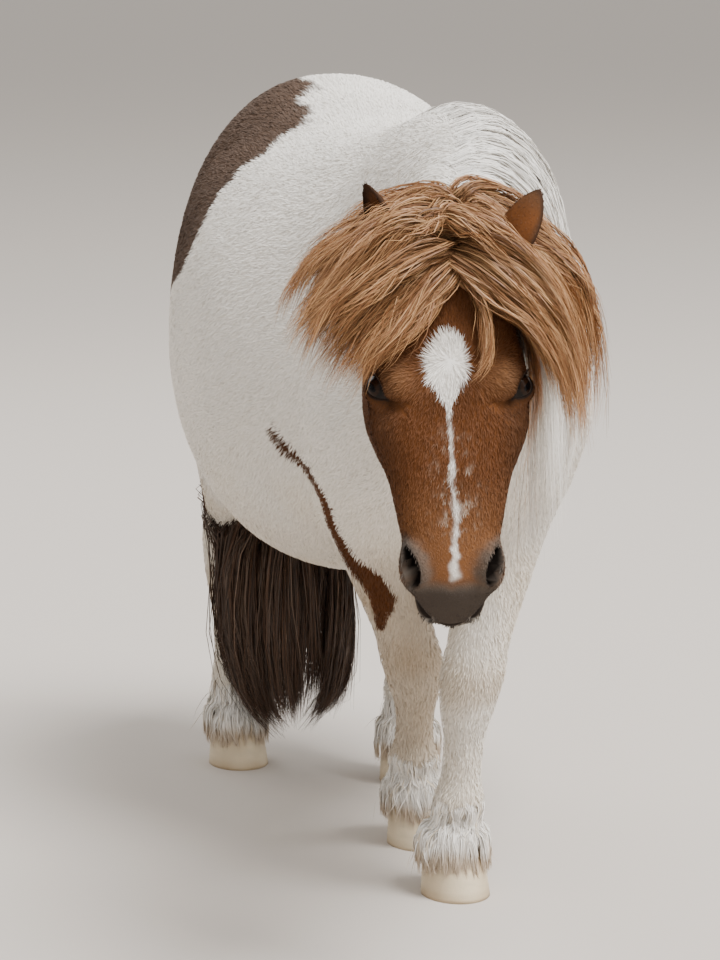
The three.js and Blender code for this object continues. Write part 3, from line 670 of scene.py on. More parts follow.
def face_markings(points, colour, fine):
    """A face's colours with the star, the stripe and the white hairs beside it."""
    side, along, up = head_place(points).T
    front = step(-14, -8, up)
    flat = np.stack([side + 0.45 * noise(points, 0.018, 8) + 0.35 * noise(points, 0.005, 12), along], 1)
    star = within(flat, *STAR) * 4 + 0.5 * fine
    stripe = within(flat, *STRIPE) * 1.2 + 0.8 * fine - 0.35 + 0.4 * noise(points, 0.02, 13)
    colour = tint(colour, WHITE, np.maximum(step(-0.5, 0.6, star), 0.85 * step(-0.9, 0.9, stripe)) * front)
    roan = hill(side, 1, 4.5) * step(-46, -58, along) * step(-80, -72, along) * front
    return tint(colour, PALE, 0.5 * roan * step(0.1, 0.9, noise(points, 0.0035, 14)))


def muzzle_colours(points, colour, fine, broad, rim):
    """A face's colours with the grey muzzle, its pale lower lip and the line between the lips, which is
    painted shade.
    """
    side, along, up = head_place(points).T
    muzzle = np.maximum(-along - 86.5 - 0.4 * (up + 13) + 0.15 * np.abs(side), 2.4 * (1.8 - rim))
    muzzle += 1.4 * broad + 0.6 * fine
    colour = tint(colour, MUZZLE, step(-2.0, 3.0, muzzle))
    pale_edge = step(-0.4, 1.2, muzzle) * step(4.0, 1.8, muzzle) * step(-17, -12, up)
    colour = tint(colour, PALE, 0.04 * pale_edge)
    line = mouth_line(along, up)
    colour = tint(colour, PALE, 0.12 * step(-1, -3, line) * step(-78, -86, along))
    # The line between the lips is near black: painted shade in the slit between them.
    return tint(colour, DARK * 0.6, 0.85 * step(1.3, 0.4, np.abs(line)) * step(-74, -79, along))


def face_colour(points):
    side, along, up = head_place(points).T
    fine, broad = noise(points, 0.008, 3), noise(points, 0.04, 4)
    colour = np.broadcast_to(CHESTNUT, points.shape) * (1 + 0.14 * broad + 0.06 * fine)[:, None]
    lower = step(-58, -80, along) * step(-24, -10, up)
    colour = tint(colour, TAN, 0.16 * lower)
    # The sides of the face are darker than its front: painted shade.
    colour = tint(colour, BROWN * 0.8, 0.55 * step(10, 17, np.abs(side)) * step(-24, -40, along))
    brow = np.exp(-((np.abs(side) - 13) ** 2 + (along + 37) ** 2) / 30) * step(-3, 3, up)
    colour = tint(colour, TAN, 0.25 * brow)
    colour = face_markings(points, colour, fine)
    rim = nostril_size(points)
    colour = muzzle_colours(points, colour, fine, broad, rim)
    for place_in_eye in eye_places(points):
        x, y, z = place_in_eye.T
        lids = np.where(z > 0, lid_edge(x, y), 99)
        colour = tint(colour, BROWN * 0.5, 0.7 * step(7, 2, lids))
        colour = tint(colour, DARK, step(2.6, 0.6, lids) * 0.95)
    # Inside the nostrils is near black: painted shade in their deep openings.
    return tint(colour, DARK * 0.3, step(1.2, 0.95, rim))


# Eyes, lids, nostrils and mouth. Their own frames are in millimetres, with Z out of the head.
def head_frame(centre, along, facing):
    z = unit(np.array(facing, float))
    x = unit(np.array(along, float) - z * dot(np.array(along, float), z))
    y = np.cross(z, x)
    if y[2] < 0:
        y = -y
    local = np.eye(4)
    local[:3, 0], local[:3, 1], local[:3, 2] = x, y, z
    local[:3, 3] = np.array(centre) * HEAD_UNIT
    return IN_HEAD @ local


EYE_FRAMES = [head_frame((side * 16.6, -37.8, -5), (side * -0.5, -0.72, 0.45), (side * 0.74, -0.12, 0.66))
              for side in (1, -1)]
NOSTRIL_FRAMES = [head_frame((side * 9.9, -84, -6.6), (side * -0.4, -0.9, -0.15), (side * 0.66, -0.3, 0.68))
                  for side in (1, -1)]
NOSTRIL = (20, 7.6)
NOSTRIL_BEND = 0.012
NOSTRIL_DEPTH = 15
LID_HALF_WIDTH = 17.0
UPPER_LID = 9.8
LOWER_LID = 7.4
LID_THICKNESS = 1.6


def mouth_line(along, up):
    """How far above the line between the lips, in head units."""
    return up - MOUTH_HEIGHT - MOUTH_SLOPE * (along + 87)


def eye_places(points):
    return [moved(points, np.linalg.inv(place)) / MM for place in EYE_FRAMES]


def nostril_places(points):
    return [moved(points, np.linalg.inv(place)) / MM for place in NOSTRIL_FRAMES]


def nearest(places):
    """The distance from the nearest of several origins, for the same points in the frame of each."""
    return np.min([np.linalg.norm(place, axis=1) for place in places], axis=0)


def nostril_size(points):
    """How far from the middle of the nearer nostril, where 1 is its rim."""
    sizes = []
    for x, y, z in (place.T for place in nostril_places(points)):
        bent = y + NOSTRIL_BEND * x**2 - 1.5
        sizes.append(np.hypot(x / NOSTRIL[0], bent / NOSTRIL[1]) + 9 * (np.abs(z + 14) > 36))
    return np.min(sizes, axis=0)


def lid_edge(x, y):
    """How far a place on the eye is outside the opening between the lids, in mm."""
    reach = np.clip(1 - (np.abs(x) / LID_HALF_WIDTH) ** 2.3, 0, 1)
    slant = -0.12 * x
    upper = y - slant - UPPER_LID * reach
    lower = -(y - slant) - LOWER_LID * reach
    return np.maximum(np.maximum(upper, lower), np.abs(x) - LID_HALF_WIDTH)


# Rises and hollows of the face: place, how far they spread, in head units, and height in mm
FACE_FORMS = [
    ((17.2, -52, -15), (3.5, 9, 3), 1.8),
    ((13.5, -60, -6), (4, 10, 4.5), -2.2),
    ((12.5, -29, 1.5), (4, 5, 4), -2.2),
    ((13.8, -38.5, 1.2), (4.5, 4.5, 2.6), 1.6),
    ((12.4, -84, -9), (3, 6, 4), 1.8),
    ((9.6, -76, -7), (3.6, 4, 4.5), -1.6),
    ((17.5, -27, -24), (4, 9, 9), 1.0),
    ((0, -88, -31), (6, 6, 4), 1.6),
    ((0, -97, -18), (7, 4, 3), 0.8),
    ((0, -94, -24), (8, 5, 4), 3.5),
]
MOUTH_HEIGHT = -19.6
MOUTH_SLOPE = 0.06
MOUTH_CORNER = -75

# In mm: the groove between the lips, at its corners and in front, the rise of the lips, the rim of the
# nostrils, the fold in the upper lids, and how far the skin between the lids lies behind the eye's surface
MOUTH_GROOVE = (1.8, 0.8)
LIP_RISE = 0.5
NOSTRIL_RIM = 1.2
LID_FOLD = 0.9
BEHIND_EYE = 4


def hill(value, middle, width):
    """1 where a value is in the middle of a range, and less away from it."""
    return np.exp(-(((value - middle) / width) ** 2))


def face_height(points):
    """How far the finer forms of the face rise above its plain shape, in mm."""
    side, along, up = head_place(points).T
    mirrored = np.stack([np.abs(side), along, up], 1)
    height = np.zeros(len(points))
    for centre, spread, rise in FACE_FORMS:
        offset = (mirrored - np.array(centre)) / np.array(spread)
        height += rise * np.exp(-dot(offset, offset))
    line = mouth_line(along, up)
    mouth = step(MOUTH_CORNER + 3, MOUTH_CORNER - 2, along)
    height -= mouth * mix(*MOUTH_GROOVE, step(-86, -92, along)) * hill(line, 0, 0.5)
    height += mouth * LIP_RISE * hill(np.abs(line), 1.7, 1.0)
    return height + NOSTRIL_RIM * hill(nostril_size(points), 1.25, 0.3)


def with_lids(points, place, matrix):
    """Points round an eye, given in its frame too, moved to the lids over it or behind it between them."""
    radius = np.linalg.norm(place, axis=1)
    ball = EYE_RADIUS / MM
    lid = ball + LID_THICKNESS
    scale = ball / np.maximum(radius, 1)
    edge = lid_edge(place[:, 0] * scale, place[:, 1] * scale)
    near = (place[:, 2] > -2) & (radius < 40)
    around = np.maximum(radius, lid) + np.maximum(3 - np.abs(radius - lid), 0) ** 2 / 12
    rim = lid + 0.35 * np.maximum(edge, 0)
    target = mix(rim, around, step(0.5, 9, edge))
    target -= LID_FOLD * hill(edge, 5.5, 1.2) * (place[:, 1] > 0)
    target = mix(ball - BEHIND_EYE, target, step(-2.2, 0.2, edge))
    target = np.where(near, mix(target, radius, step(14, 20, edge)), radius)
    place = place * (target / radius)[:, None]
    return np.where(near[:, None], moved(place * MM, matrix), points)


def shaped_head(points, normals):
    """The head with its finer forms: rises and hollows, mouth, nostrils and lids."""
    side = head_place(points)[:, 0]
    inward = -NOSTRIL_DEPTH * np.sqrt(np.clip(1 - nostril_size(points) ** 2, 0, 1))
    points = points + normals * (face_height(points) * MM)[:, None]
    for matrix, k in zip(NOSTRIL_FRAMES, (1, -1)):
        points += matrix[:3, 2] * (inward * (side * k > 0) * MM)[:, None]
    for matrix, place in zip(EYE_FRAMES, eye_places(points)):
        points = with_lids(points, place, matrix)
    return points


def refined(mesh, wanted):
    """The mesh with the faces that are wanted split in four."""
    shape = bmesh.new()
    shape.from_mesh(mesh)
    shape.verts.ensure_lookup_table()
    keep = wanted(np.array([v.co for v in shape.verts]))
    edges = [e for e in shape.edges if keep[e.verts[0].index] and keep[e.verts[1].index]]
    bmesh.ops.subdivide_edges(shape, edges=edges, cuts=1, use_grid_fill=True)
    shape.to_mesh(mesh)
    shape.free()


def drawn(points, distance=skin_outside, passes=2):
    """Points moved onto the surface where a distance is nothing."""
    for _ in range(passes):
        points = points - way_out(points, distance) * distance(points)[:, None]
    return points


# Where forms end, the skin is smoothed: its place, how far from it, and how often
LIPS = head_point((0, -90, -19))
CHEST = moved(np.array([-1.5, -46.5, 62]) * BODY_UNIT, IN_BODY)
DOCK = moved(np.array([0, 50, 80]) * BODY_UNIT, IN_BODY)
ENDS = [(LIPS, 0.066, 40), (CHEST, 0.1, 30), (DOCK, 0.17, 70)]
LOWER_LIP_DROP = 0.011


def relaxed(mesh, points, centre, reach, passes):
    """The points, where those near a place are drawn to the middle of their neighbours."""
    edges = np.empty(len(mesh.edges) * 2, np.int32)
    mesh.edges.foreach_get("vertices", edges)
    share = step(reach, 0.6 * reach, np.linalg.norm(points - centre, axis=1))
    edges = edges.reshape(-1, 2)
    edges = edges[(share[edges] > 0).any(1)]
    near = np.unique(edges)
    number = np.full(len(points), -1)
    number[near] = np.arange(len(near))
    start, end = np.concatenate([number[edges], number[edges[:, ::-1]]]).T
    count = np.maximum(np.bincount(start, minlength=len(near)), 1)
    place, share = points[near], share[near, None]
    for _ in range(passes):
        total = np.stack([np.bincount(start, place[end, k], len(near)) for k in range(3)], 1)
        place = mix(place, total / count[:, None], 0.7 * share)
    points = points.copy()
    points[near] = place
    return points


def skin_mesh():
    """The skin of the flesh, finer on the head and finest round its features."""
    low, high = np.array(cad_low) - 0.03, np.array(cad_high) + 0.03
    points, quads = surface_of(skin_outside, low, high, SKIN_STEP)
    points = drawn(points)
    mesh = mesh_of("skin", points, quads)

    def head_zone(places):
        return on_head(places) > 0.5

    def features_zone(places):
        muzzle = head_place(places)[:, 1] < -72
        return head_zone(places) & (muzzle | (nearest(eye_places(places)) < 36))

    def edges_zone(places):
        _, along, up = head_place(places).T
        eyes = nearest(eye_places(places)) < 24
        nostrils = nearest(nostril_places(places)) < 24
        mouth = (np.abs(mouth_line(along, up)) < 2) & (along < MOUTH_CORNER)
        return head_zone(places) & (eyes | nostrils | mouth)

    for zone in (head_zone, features_zone, edges_zone):
        refined(mesh, zone)
        set_points(mesh, drawn(points_of(mesh), passes=1))
    points = points_of(mesh)
    _, along, up = head_place(points).T
    drop = on_head(points) * step(-78, -94, along) * step(-14, -23, up)
    points -= IN_HEAD[:3, 1] * (LOWER_LIP_DROP * drop)[:, None]
    for end in ENDS:
        points = relaxed(mesh, points, *end)
    set_points(mesh, points)
    chosen = on_head(points) > 0.01
    points[chosen] = shaped_head(points[chosen], normals_of(mesh)[chosen])
    set_points(mesh, points)
    return mesh


FLESH = ["head", "ear_left", "ear_right", "neck", "torso"]
for end, side in (foot.split("_") for foot in legs):
    FLESH += [f"{end}leg_{side}", f"fetlock_{end}_{side}"]

# Ears: a cup on each side of the poll. The left one is turned to listen behind it.
EAR_ROWS = [
    (0, 0, -3, 2.6, 2.4, 2.4),
    (0, 0, 1, 3.4, 2.8, 3),
    (0, 0, 6, 5, 2.4, 3.6),
    (0, 0, 11, 5.9, 1.7, 3.4),
    (0, 0, 17, 4.9, 1, 2.6),
    (0, 0, 21.4, 2.6, 0.5, 1.4),
    (0, 0, 23.6, 0.6, 0.2, 0.4),
]
EAR_WALL = 0.62
EAR_WRAP = math.radians(118)
EAR_ARC = 21
EAR_STEPS = 34


def ear_frame(base, tip, facing):
    base = np.array(base)
    z = unit(np.array(tip) - base)
    y = -np.array(facing, float)
    y = unit(y - z * dot(y, z))
    local = np.eye(4)
    local[:3, 0], local[:3, 1], local[:3, 2], local[:3, 3] = np.cross(y, z), y, z, base * HEAD_UNIT
    return IN_HEAD @ local


EAR_FRAMES = [
    ear_frame((13, -7.5, -2), (24, 12.5, 4), (0.62, 0.25, -0.75)),
    ear_frame((-13, -7, -2), (-20.5, 13, 3.4), (-0.84, -0.28, 0.46)),
]


def ear_shell(place):
    """Rings of points up an ear: round the back of its wall and then back along the inside."""
    rows = smooth_row(EAR_ROWS, np.linspace(0, 1, EAR_STEPS))
    turn = np.linspace(-1, 1, EAR_ARC) * EAR_WRAP * mix(0.4, 1, step(4, 14, rows[:, 2, None]))
    reach, front, back = rows[:, 3, None], rows[:, 4, None], rows[:, 5, None]
    behind = np.cos(turn) > 0
    rings = []
    for wall in (0, 1):
        thin = wall * np.minimum(EAR_WALL, reach * 0.4) * (0.35 + 0.65 * np.cos(turn / 2) ** 2)
        x = (reach - thin) * np.sin(turn) * np.where(behind, 1, 0.98)
        y = np.where(behind, back - thin, front * 0.8) * np.cos(turn)
        z = np.broadcast_to(rows[:, 2, None], x.shape)
        rings.append(np.stack([x, y, z], -1)[:, ::-1 if wall else 1])
    points = np.concatenate(rings, 1)
    return moved(points.reshape(-1, 3) * HEAD_UNIT, place), tube_faces(EAR_STEPS, points.shape[1])


def ear_places(points):
    return [moved(points, np.linalg.inv(matrix)) / HEAD_UNIT for matrix in EAR_FRAMES]


def on_ear(points):
    """How much a point belongs to an ear, from 0 to 1."""
    return np.max([step(8.5, 7.5, np.hypot(x, y)) * step(1, 3, z) * step(26, 25, z)
                   for x, y, z in (place.T for place in ear_places(points))], axis=0)


def ear_colour(points):
    """Chestnut behind, brown at the tip and the edges, and painted shade inside the cup."""
    colour = CHESTNUT * (0.95 + 0.2 * noise(points, 0.01, 9))[:, None]
    for x, y, z in (place.T for place in ear_places(points)):
        here = step(8.5, 7.5, np.hypot(x, y)) * step(0, 3, z)
        reach = np.interp(z, [row[2] for row in EAR_ROWS], [row[3] for row in EAR_ROWS])
        edge = np.maximum(step(15, 22, z), step(0.75, 1.0, np.abs(x) / reach))
        colour = tint(colour, BROWN, 0.8 * here * edge)
        # The inside of the cup is darker: painted shade.
        colour = tint(colour, DARK, 0.6 * here * step(1.4, 0.6, y))
    return colour


def whole_skin():
    """The skin of the flesh with the shells of both ears."""
    mesh = skin_mesh()
    points, corners = points_of(mesh), triangles_of(mesh)
    for place in EAR_FRAMES:
        shell, quads = ear_shell(place)
        tris = np.concatenate([quads[:, [0, 1, 2]], quads[:, [0, 2, 3]]])
        corners = np.concatenate([corners, tris + len(points)])
        points = np.concatenate([points, shell])
    made = mesh_of("skin", points, corners)
    set_colours(made, coat_colour(points))
    return made


skin = whole_skin()
piece("skin", skin, skin_material, FLESH)


# Places on the bake map: each form has its own square, unwrapped along the form and round it.
MAP_FORMS = [trunk, neck, skull, jaw, *legs.values()]
MAP_COLUMNS = 3
PATCH = 0.003


def map_places(points):
    nearest = np.stack([form.distance(points) for form in MAP_FORMS]).argmin(0)
    places = np.zeros((len(points), 2))
    for k, form in enumerate(MAP_FORMS):
        chosen = nearest == k
        if chosen.any():
            share, turn = form.place_of(points[chosen])
            square = np.array([k % MAP_COLUMNS, k // MAP_COLUMNS])
            places[chosen] = (square + 0.02 + 0.94 * np.stack([turn, share], 1)) / MAP_COLUMNS
    return places


# Short coat: thin tufts that lie along the body
def scattered(mesh, density):
    """Places spread over a mesh, as many to the square metre as a density gives, and the way out at each."""
    points, normals, corners = points_of(mesh), normals_of(mesh), triangles_of(mesh)
    a, b, c = (points[corners[:, k]] for k in range(3))
    area = np.linalg.norm(np.cross(b - a, c - a), axis=1) / 2
    ends = np.cumsum(area * density((a + b + c) / 3) * SHARE)
    count = int(ends[-1])
    chosen = np.searchsorted(ends, (np.arange(count) + random.random(count)) * ends[-1] / count)
    chosen = corners[np.minimum(chosen, len(corners) - 1)]
    weights = random.dirichlet((1, 1, 1), count)[:, :, None]
    return (points[chosen] * weights).sum(1), unit((normals[chosen] * weights).sum(1))


STAR_HEIGHT = -33


def lie_of(points, normals):
    """The way that the short coat lies."""
    place = head_place(points)
    side, along, up = place.T
    body = np.broadcast_to([0.0, 1.0, -0.5], points.shape)
    on_neck = step(0.05, 0.0, neck.distance(points)) * step(-0.15, -0.3, points[:, 1])
    way = body + on_neck[:, None] * np.array([0, 0.1, -0.7])
    low = step(0.45, 0.33, points[:, 2])
    way = way * (1 - low)[:, None] + low[:, None] * np.array([0, 0.15, -1])
    face = np.stack([0.6 * side, along - STAR_HEIGHT, np.zeros_like(side)], 1)
    face = unit(face + np.array([0, -4, 0]) * step(-34, -50, along)[:, None])
    cheek = step(-10, -20, up) * step(-76, -60, along)
    face = face * (1 - cheek)[:, None] + cheek[:, None] * np.array([0, 0.5, -0.8])
    share = on_head(points)[:, None]
    way = unit(way) * (1 - share) + (unit(face) @ IN_HEAD[:3, :3].T) * share
    for matrix, (x, y, z) in zip(EAR_FRAMES, (at.T for at in ear_places(points))):
        inside = (step(2, 4, z) * (np.hypot(x, y) < 8.5) * (z < 26))[:, None]
        way = way * (1 - inside) + matrix[:3, 2] * inside
    way = way - normals * dot(way, normals)[:, None]
    turn = random.normal(0, 0.2, len(points)) + 0.35 * noise(points, 0.05, 11)
    way = unit(way)
    return way * np.cos(turn)[:, None] + np.cross(normals, way) * np.sin(turn)[:, None]


def tuft_mesh(name, roots, normals, ways, lengths, widths, colours, rise):
    """Tufts of four points: root, both sides at the widest place, and tip."""
    roll = random.normal(0, 0.5, len(roots))[:, None]
    across = np.cross(normals, ways) * np.cos(roll) + normals * np.sin(roll)
    reach, height = ways * lengths[:, None], normals * (lengths * rise)[:, None]
    middle = roots + 0.4 * reach + 0.75 * height
    half = across * widths[:, None] / 2
    points = np.stack([roots - normals * 0.8 * MM, middle - half, roots + reach + height, middle + half], 1)
    faces = np.arange(len(roots) * 4).reshape(-1, 4)
    mesh = mesh_of(name, points.reshape(-1, 3), faces)
    # Each tuft is darker at its root and lighter at its tip: painted shade where the coat lies over it, and
    # painted light on the tips.
    root_to_tip_shade = np.array([0.86, 1.0, 1.1, 1.0])[None, :, None]
    set_colours(mesh, (colours[:, None] * root_to_tip_shade).reshape(-1, 3))
    corners = PATCH * np.array([(0.5, 0), (1, 0.5), (0.5, 1), (0, 0.5)])
    set_patches(mesh, (map_places(roots)[:, None] + corners).reshape(-1, 2), faces)
    return mesh


# Tufts to the square metre, and how long and wide they are: on the legs and body, and at muzzle and forehead
BODY_DENSITY = 138000
FACE_DENSITY = 350000
LEG_TUFT, BODY_TUFT = 0.0085, 0.0105
MUZZLE_TUFT, FACE_TUFT, STAR_TUFT = 0.0016, 0.0065, 0.003
BODY_TUFT_WIDTH, FACE_TUFT_WIDTH = 0.0013, 0.0008


def bare(points):
    """Where no coat grows: on the eyes, inside the nostrils and between the lids."""
    clear = np.zeros(len(points), bool)
    for q in eye_places(points):
        clear |= (np.linalg.norm(q, axis=1) < 40) & (lid_edge(q[:, 0], q[:, 1]) < 2.6) & (q[:, 2] > 0)
    _, along, up = head_place(points).T
    line = np.abs(mouth_line(along, up))
    lips = (on_head(points) > 0.5) & (along < MOUTH_CORNER) & (line < mix(0.6, 2.6, step(-86, -91, along)))
    return clear | lips | (nostril_size(points) < 1.05)


def short_coat(mesh):
    """Tufts over all the skin, in one piece for head and ears and three from front to rear."""
    def density(points):
        return mix(BODY_DENSITY, FACE_DENSITY, on_head(points)) * ~bare(points)

    roots, normals = scattered(mesh, density)
    head = on_head(roots)
    place = head_place(roots)
    height = roots[:, 2]
    body = mix(LEG_TUFT, BODY_TUFT, step(0.25, 0.5, height))
    from_star = np.hypot(place[:, 0], place[:, 1] + 34)
    face = mix(MUZZLE_TUFT, FACE_TUFT, step(-88, -66, place[:, 1])) + STAR_TUFT * step(14, 6, from_star)
    in_eyes = [place.T for place in eye_places(roots)]
    lids = np.min([np.where(z > -4, lid_edge(x, y), 99) for x, y, z in in_eyes], axis=0)
    face = face * mix(0.3, 1, step(2, 14, lids))
    length = mix(body, face, head) * random.uniform(0.7, 1.25, len(roots)) * mix(1, 0.45, on_ear(roots))
    width = mix(BODY_TUFT_WIDTH, FACE_TUFT_WIDTH, head) * random.uniform(0.7, 1.2, len(roots))
    rise = mix(mix(0.26, 0.12, step(0.25, 0.45, height)), 0.14, head) + 0.08 * random.random(len(roots))
    streaks = 0.07 * noise(roots * [1, 1, 0.3], 0.006, 15) * step(0.4, 0.3, height)
    colour = coat_colour(roots) * (random.normal(1, mix(0.035, 0.06, head)) + streaks)[:, None]
    ways = lie_of(roots, normals)
    order = np.argsort(np.where(head > 0.5, -9, roots[:, 1]))
    count = int((head > 0.5).sum())
    groups = [("coat_face", order[:count], "chestnut_coat")]
    parts = zip(("front", "middle", "rear"), np.array_split(order[count:], 3))
    groups += [(f"coat_{part}", chosen, "white_coat") for part, chosen in parts]
    for name, chosen, slot in groups:
        values = (roots, normals, ways, length, width, colour, rise)
        made = tuft_mesh(name, *(value[chosen] for value in values))
        piece(name, made, coat_material)


# Long hair: ribbons that follow guides, which are rows of points from root to tip
GUIDE_POINTS = 24

# Locks in a guide's hair, how wide each is, the share of loose hairs and how deep roots go. A hair is left
# out where the flesh makes one of its parts too long against the others, or pushes it too far
LOCKS = 6
LOCK_WIDTH = 0.22
LOOSE = 0.08
ROOT_DEPTH = 0.004
TORN = 2.6
PUSHED = 0.042


def fan(curves, count, jitter=0.0):
    """Guides spread evenly over the curves of a fan, from its first to its last."""
    curves = np.asarray(curves, float)
    flat = curves.reshape(len(curves), -1)
    shares = np.clip(np.linspace(0, 1, count) + random.normal(0, jitter, count), 0, 1)
    return smooth_row(flat, shares).reshape(count, -1, 3)


def smooth_guides(guides):
    """The guides with GUIDE_POINTS points each, along curves through their own."""
    return np.stack([smooth_row(guide, np.linspace(0, 1, GUIDE_POINTS)) for guide in guides])


def strands(guides, each, spread, depth, steps=11, gather=0.5, wave=0.006, uneven=0.3, lift=0.003,
            floor=0.01):
    """Hairs along guides, in small locks across each and in depth below it, and each hair's lock."""
    each = max(int(each * SHARE), 1)
    guides = smooth_guides(guides)
    outs = way_out(guides.reshape(-1, 3)).reshape(guides.shape)
    along = unit(np.gradient(guides, axis=1))
    across = unit(np.cross(along, outs))
    outs = np.cross(across, along)
    chosen = np.repeat(np.arange(len(guides)), each)
    total, locks = len(chosen), len(guides) * LOCKS
    spread = np.broadcast_to(spread, len(guides))[chosen][:, None]
    lock = chosen * LOCKS + random.integers(0, LOCKS, total)
    t = np.linspace(0, 1, steps)
    length = 1 - uneven * (0.6 * random.random(locks)[lock] + 0.4 * random.random(total))
    place = t * length[:, None] * (GUIDE_POINTS - 1)
    first = np.minimum(place.astype(int), GUIDE_POINTS - 2)
    share = (place - first)[..., None]

    def at(rows):
        return mix(rows[chosen[:, None], first], rows[chosen[:, None], first + 1], share)

    def each_lock(low, high):
        return random.uniform(low, high, locks)[lock][:, None]

    own = random.uniform(0, 2 * np.pi, total)[:, None]
    loose = (random.random(total) < LOOSE)[:, None] * random.normal(0, 1, total)[:, None]
    narrow = 1 - gather * t**1.5
    bends = np.sin(each_lock(0, 2 * np.pi) + each_lock(3, 9) * t) + 0.35 * np.sin(own + 9 * t)
    swing = wave * spread / spread.max() * t**1.2 * bends
    off = random.normal(0, LOCK_WIDTH, total)[:, None] * (1 - 0.75 * t)
    sideways = spread * (each_lock(-1, 1) * narrow + off + loose * t**1.5) + swing
    below = depth * (each_lock(0, 0.8) + 0.2 * np.sin(own)) * narrow - 0.5 * wave * t * np.cos(own + 6 * t)
    points = at(guides) + at(across) * sideways[..., None] - at(outs) * below[..., None]
    rise = lift * np.minimum(t * 4, 1) * random.uniform(0.5, 1.5, total)[:, None] - ROOT_DEPTH * (t == 0)
    planned = points
    points = kept_out(points.reshape(-1, 3), rise.ravel()).reshape(points.shape)
    pushed = np.linalg.norm(points - planned, axis=2)[:, 2:].max(1)
    points[..., 2] = np.maximum(points[..., 2], floor)
    gaps = np.linalg.norm(np.diff(points, axis=1), axis=2)
    whole = (gaps.max(1) < TORN * np.median(gaps, axis=1)) & (pushed < PUSHED)
    return points[whole], at(outs)[whole], lock[whole]


def ribbons(name, points, outs, width, colours, roll=0.7):
    """A mesh of ribbons that taper along rows of points, rolled at random by about that many radians."""
    total, steps = points.shape[:2]
    along = unit(np.gradient(points, axis=1))
    across = unit(np.cross(along, outs))
    roll = random.normal(0, roll, total)[:, None, None]
    across = across * np.cos(roll) + np.cross(along, across) * np.sin(roll)
    t = np.linspace(0, 1, steps)
    taper = np.minimum(0.6 + 2 * t, 1) * (1 - 0.92 * t**3)
    half = width / 2 * taper * random.uniform(0.7, 1.2, total)[:, None]
    sides = across * half[..., None]
    rows = np.stack([points - sides, points + sides], 2).reshape(-1, 3)
    first = np.arange(total)[:, None] * steps * 2 + np.arange(steps - 1) * 2
    faces = np.stack([first, first + 1, first + 3, first + 2], -1).reshape(-1, 4)
    mesh = mesh_of(name, rows, faces)
    set_colours(mesh, np.repeat(colours.reshape(-1, 3), 2, axis=0))
    corners = PATCH * np.stack(np.meshgrid([0, 1], t), -1)
    uv = map_places(points[:, 0])[:, None, None] + corners
    set_patches(mesh, uv.reshape(-1, 2), faces)
    return mesh


def streaked(lock, steps, palette, root=0.7, tip=1.1, streak=0.6):
    """A colour for each point of each hair, picked along a palette, where hairs of one lock are alike."""
    palette = np.asarray(palette)
    total = len(lock)
    value = streak * random.random(lock.max() + 1)[lock] + (1 - streak) * random.random(total)
    base = smooth_row(palette, value)
    t = np.linspace(0, 1, steps)[None, :, None]
    # Hair is darker towards its root and lighter towards its tip: painted shade under the hair above it, and
    # painted light on the ends.
    root_to_tip_shade = mix(root, tip, t**0.7) * random.normal(1, 0.06, total)[:, None, None]
    return np.clip(base[:, None] * root_to_tip_shade, 0, 1)


# Mane: it falls over the left side of the neck and hangs free below it. Angles round the neck, and the
# share of the lift that the hair has there
MANE_PATH = [(98, 0), (80, 0.4), (58, 0.8), (35, 1), (10, 1)]


def mane_guides(count, low, high, lift, hang):
    """Guides from the crest over the neck's left side, and the share of the neck that each starts at."""
    shares = np.linspace(low, high, count) + random.normal(0, 0.008, count)
    drift = 0.03 * np.sin(shares * 31) + random.normal(0, 0.01, count)
    full = step(0.0, 0.3, shares)
    hang = hang * random.uniform(0.7, 1.05, count) * mix(0.1, 1, full)
    rows = []
    for k, (angle, rise) in enumerate(MANE_PATH):
        # near the withers the hair is short and stays on the crest
        turned = mix(MANE_PATH[0][0] - 9 * k, angle, full) + random.normal(0, 3 if k == 0 else 0, count)
        along = np.clip(shares + drift * k / (len(MANE_PATH) - 1), 0, 1)
        place = neck.point(along, np.radians(turned))
        rows.append(lifted(place, -0.003 if k == 0 else rise * lift))
    for part in (0.35, 0.7, 1):
        drop = np.stack([0 * hang, -0.2 * drift * part, -hang * part], 1)
        rows.append(kept_out(rows[len(MANE_PATH) - 1] + drop, lift))
    return np.stack(rows, 1), shares


# Layers of the mane: guides, first and last share of the neck, lift, and how far they hang
MANE_LAYERS = [
    (46, 0.04, 0.94, 0.004, 0.32),
    (42, 0.04, 0.93, 0.009, 0.22),
    (36, 0.06, 0.9, 0.015, 0.19),
]


MANE_HAIRS = 92
MANE_HAIR_WIDTH = 0.0013


def mane_piece():
    """The mane: white, and chestnut like the forelock near the poll."""
    parts = [mane_guides(*layer) for layer in MANE_LAYERS]
    guides = np.concatenate([rows for rows, _ in parts])
    shares = np.concatenate([values for _, values in parts])
    points, outs, lock = strands(guides, MANE_HAIRS, spread=0.016, depth=0.007, steps=9, wave=0.007,
                                 uneven=0.4, gather=0.3)
    steps = points.shape[1]
    red = streaked(lock, steps, [BROWN, COPPER, GOLD, COPPER * 1.3, TAN], root=0.6, tip=1.25)
    pale = streaked(lock, steps, [WHITE * 0.95, WHITE, WHITE * 0.9, WHITE * 1.08], root=1.0, tip=1.0)
    nearness = shares[lock // LOCKS] + 0.02 * random.normal(0, 1, len(lock))
    share = step(0.72, 0.79, nearness)[:, None, None]
    mesh = ribbons("mane", points, outs, MANE_HAIR_WIDTH, mix(pale, red, share), roll=0.3)
    piece("mane", mesh, long_hair_material)


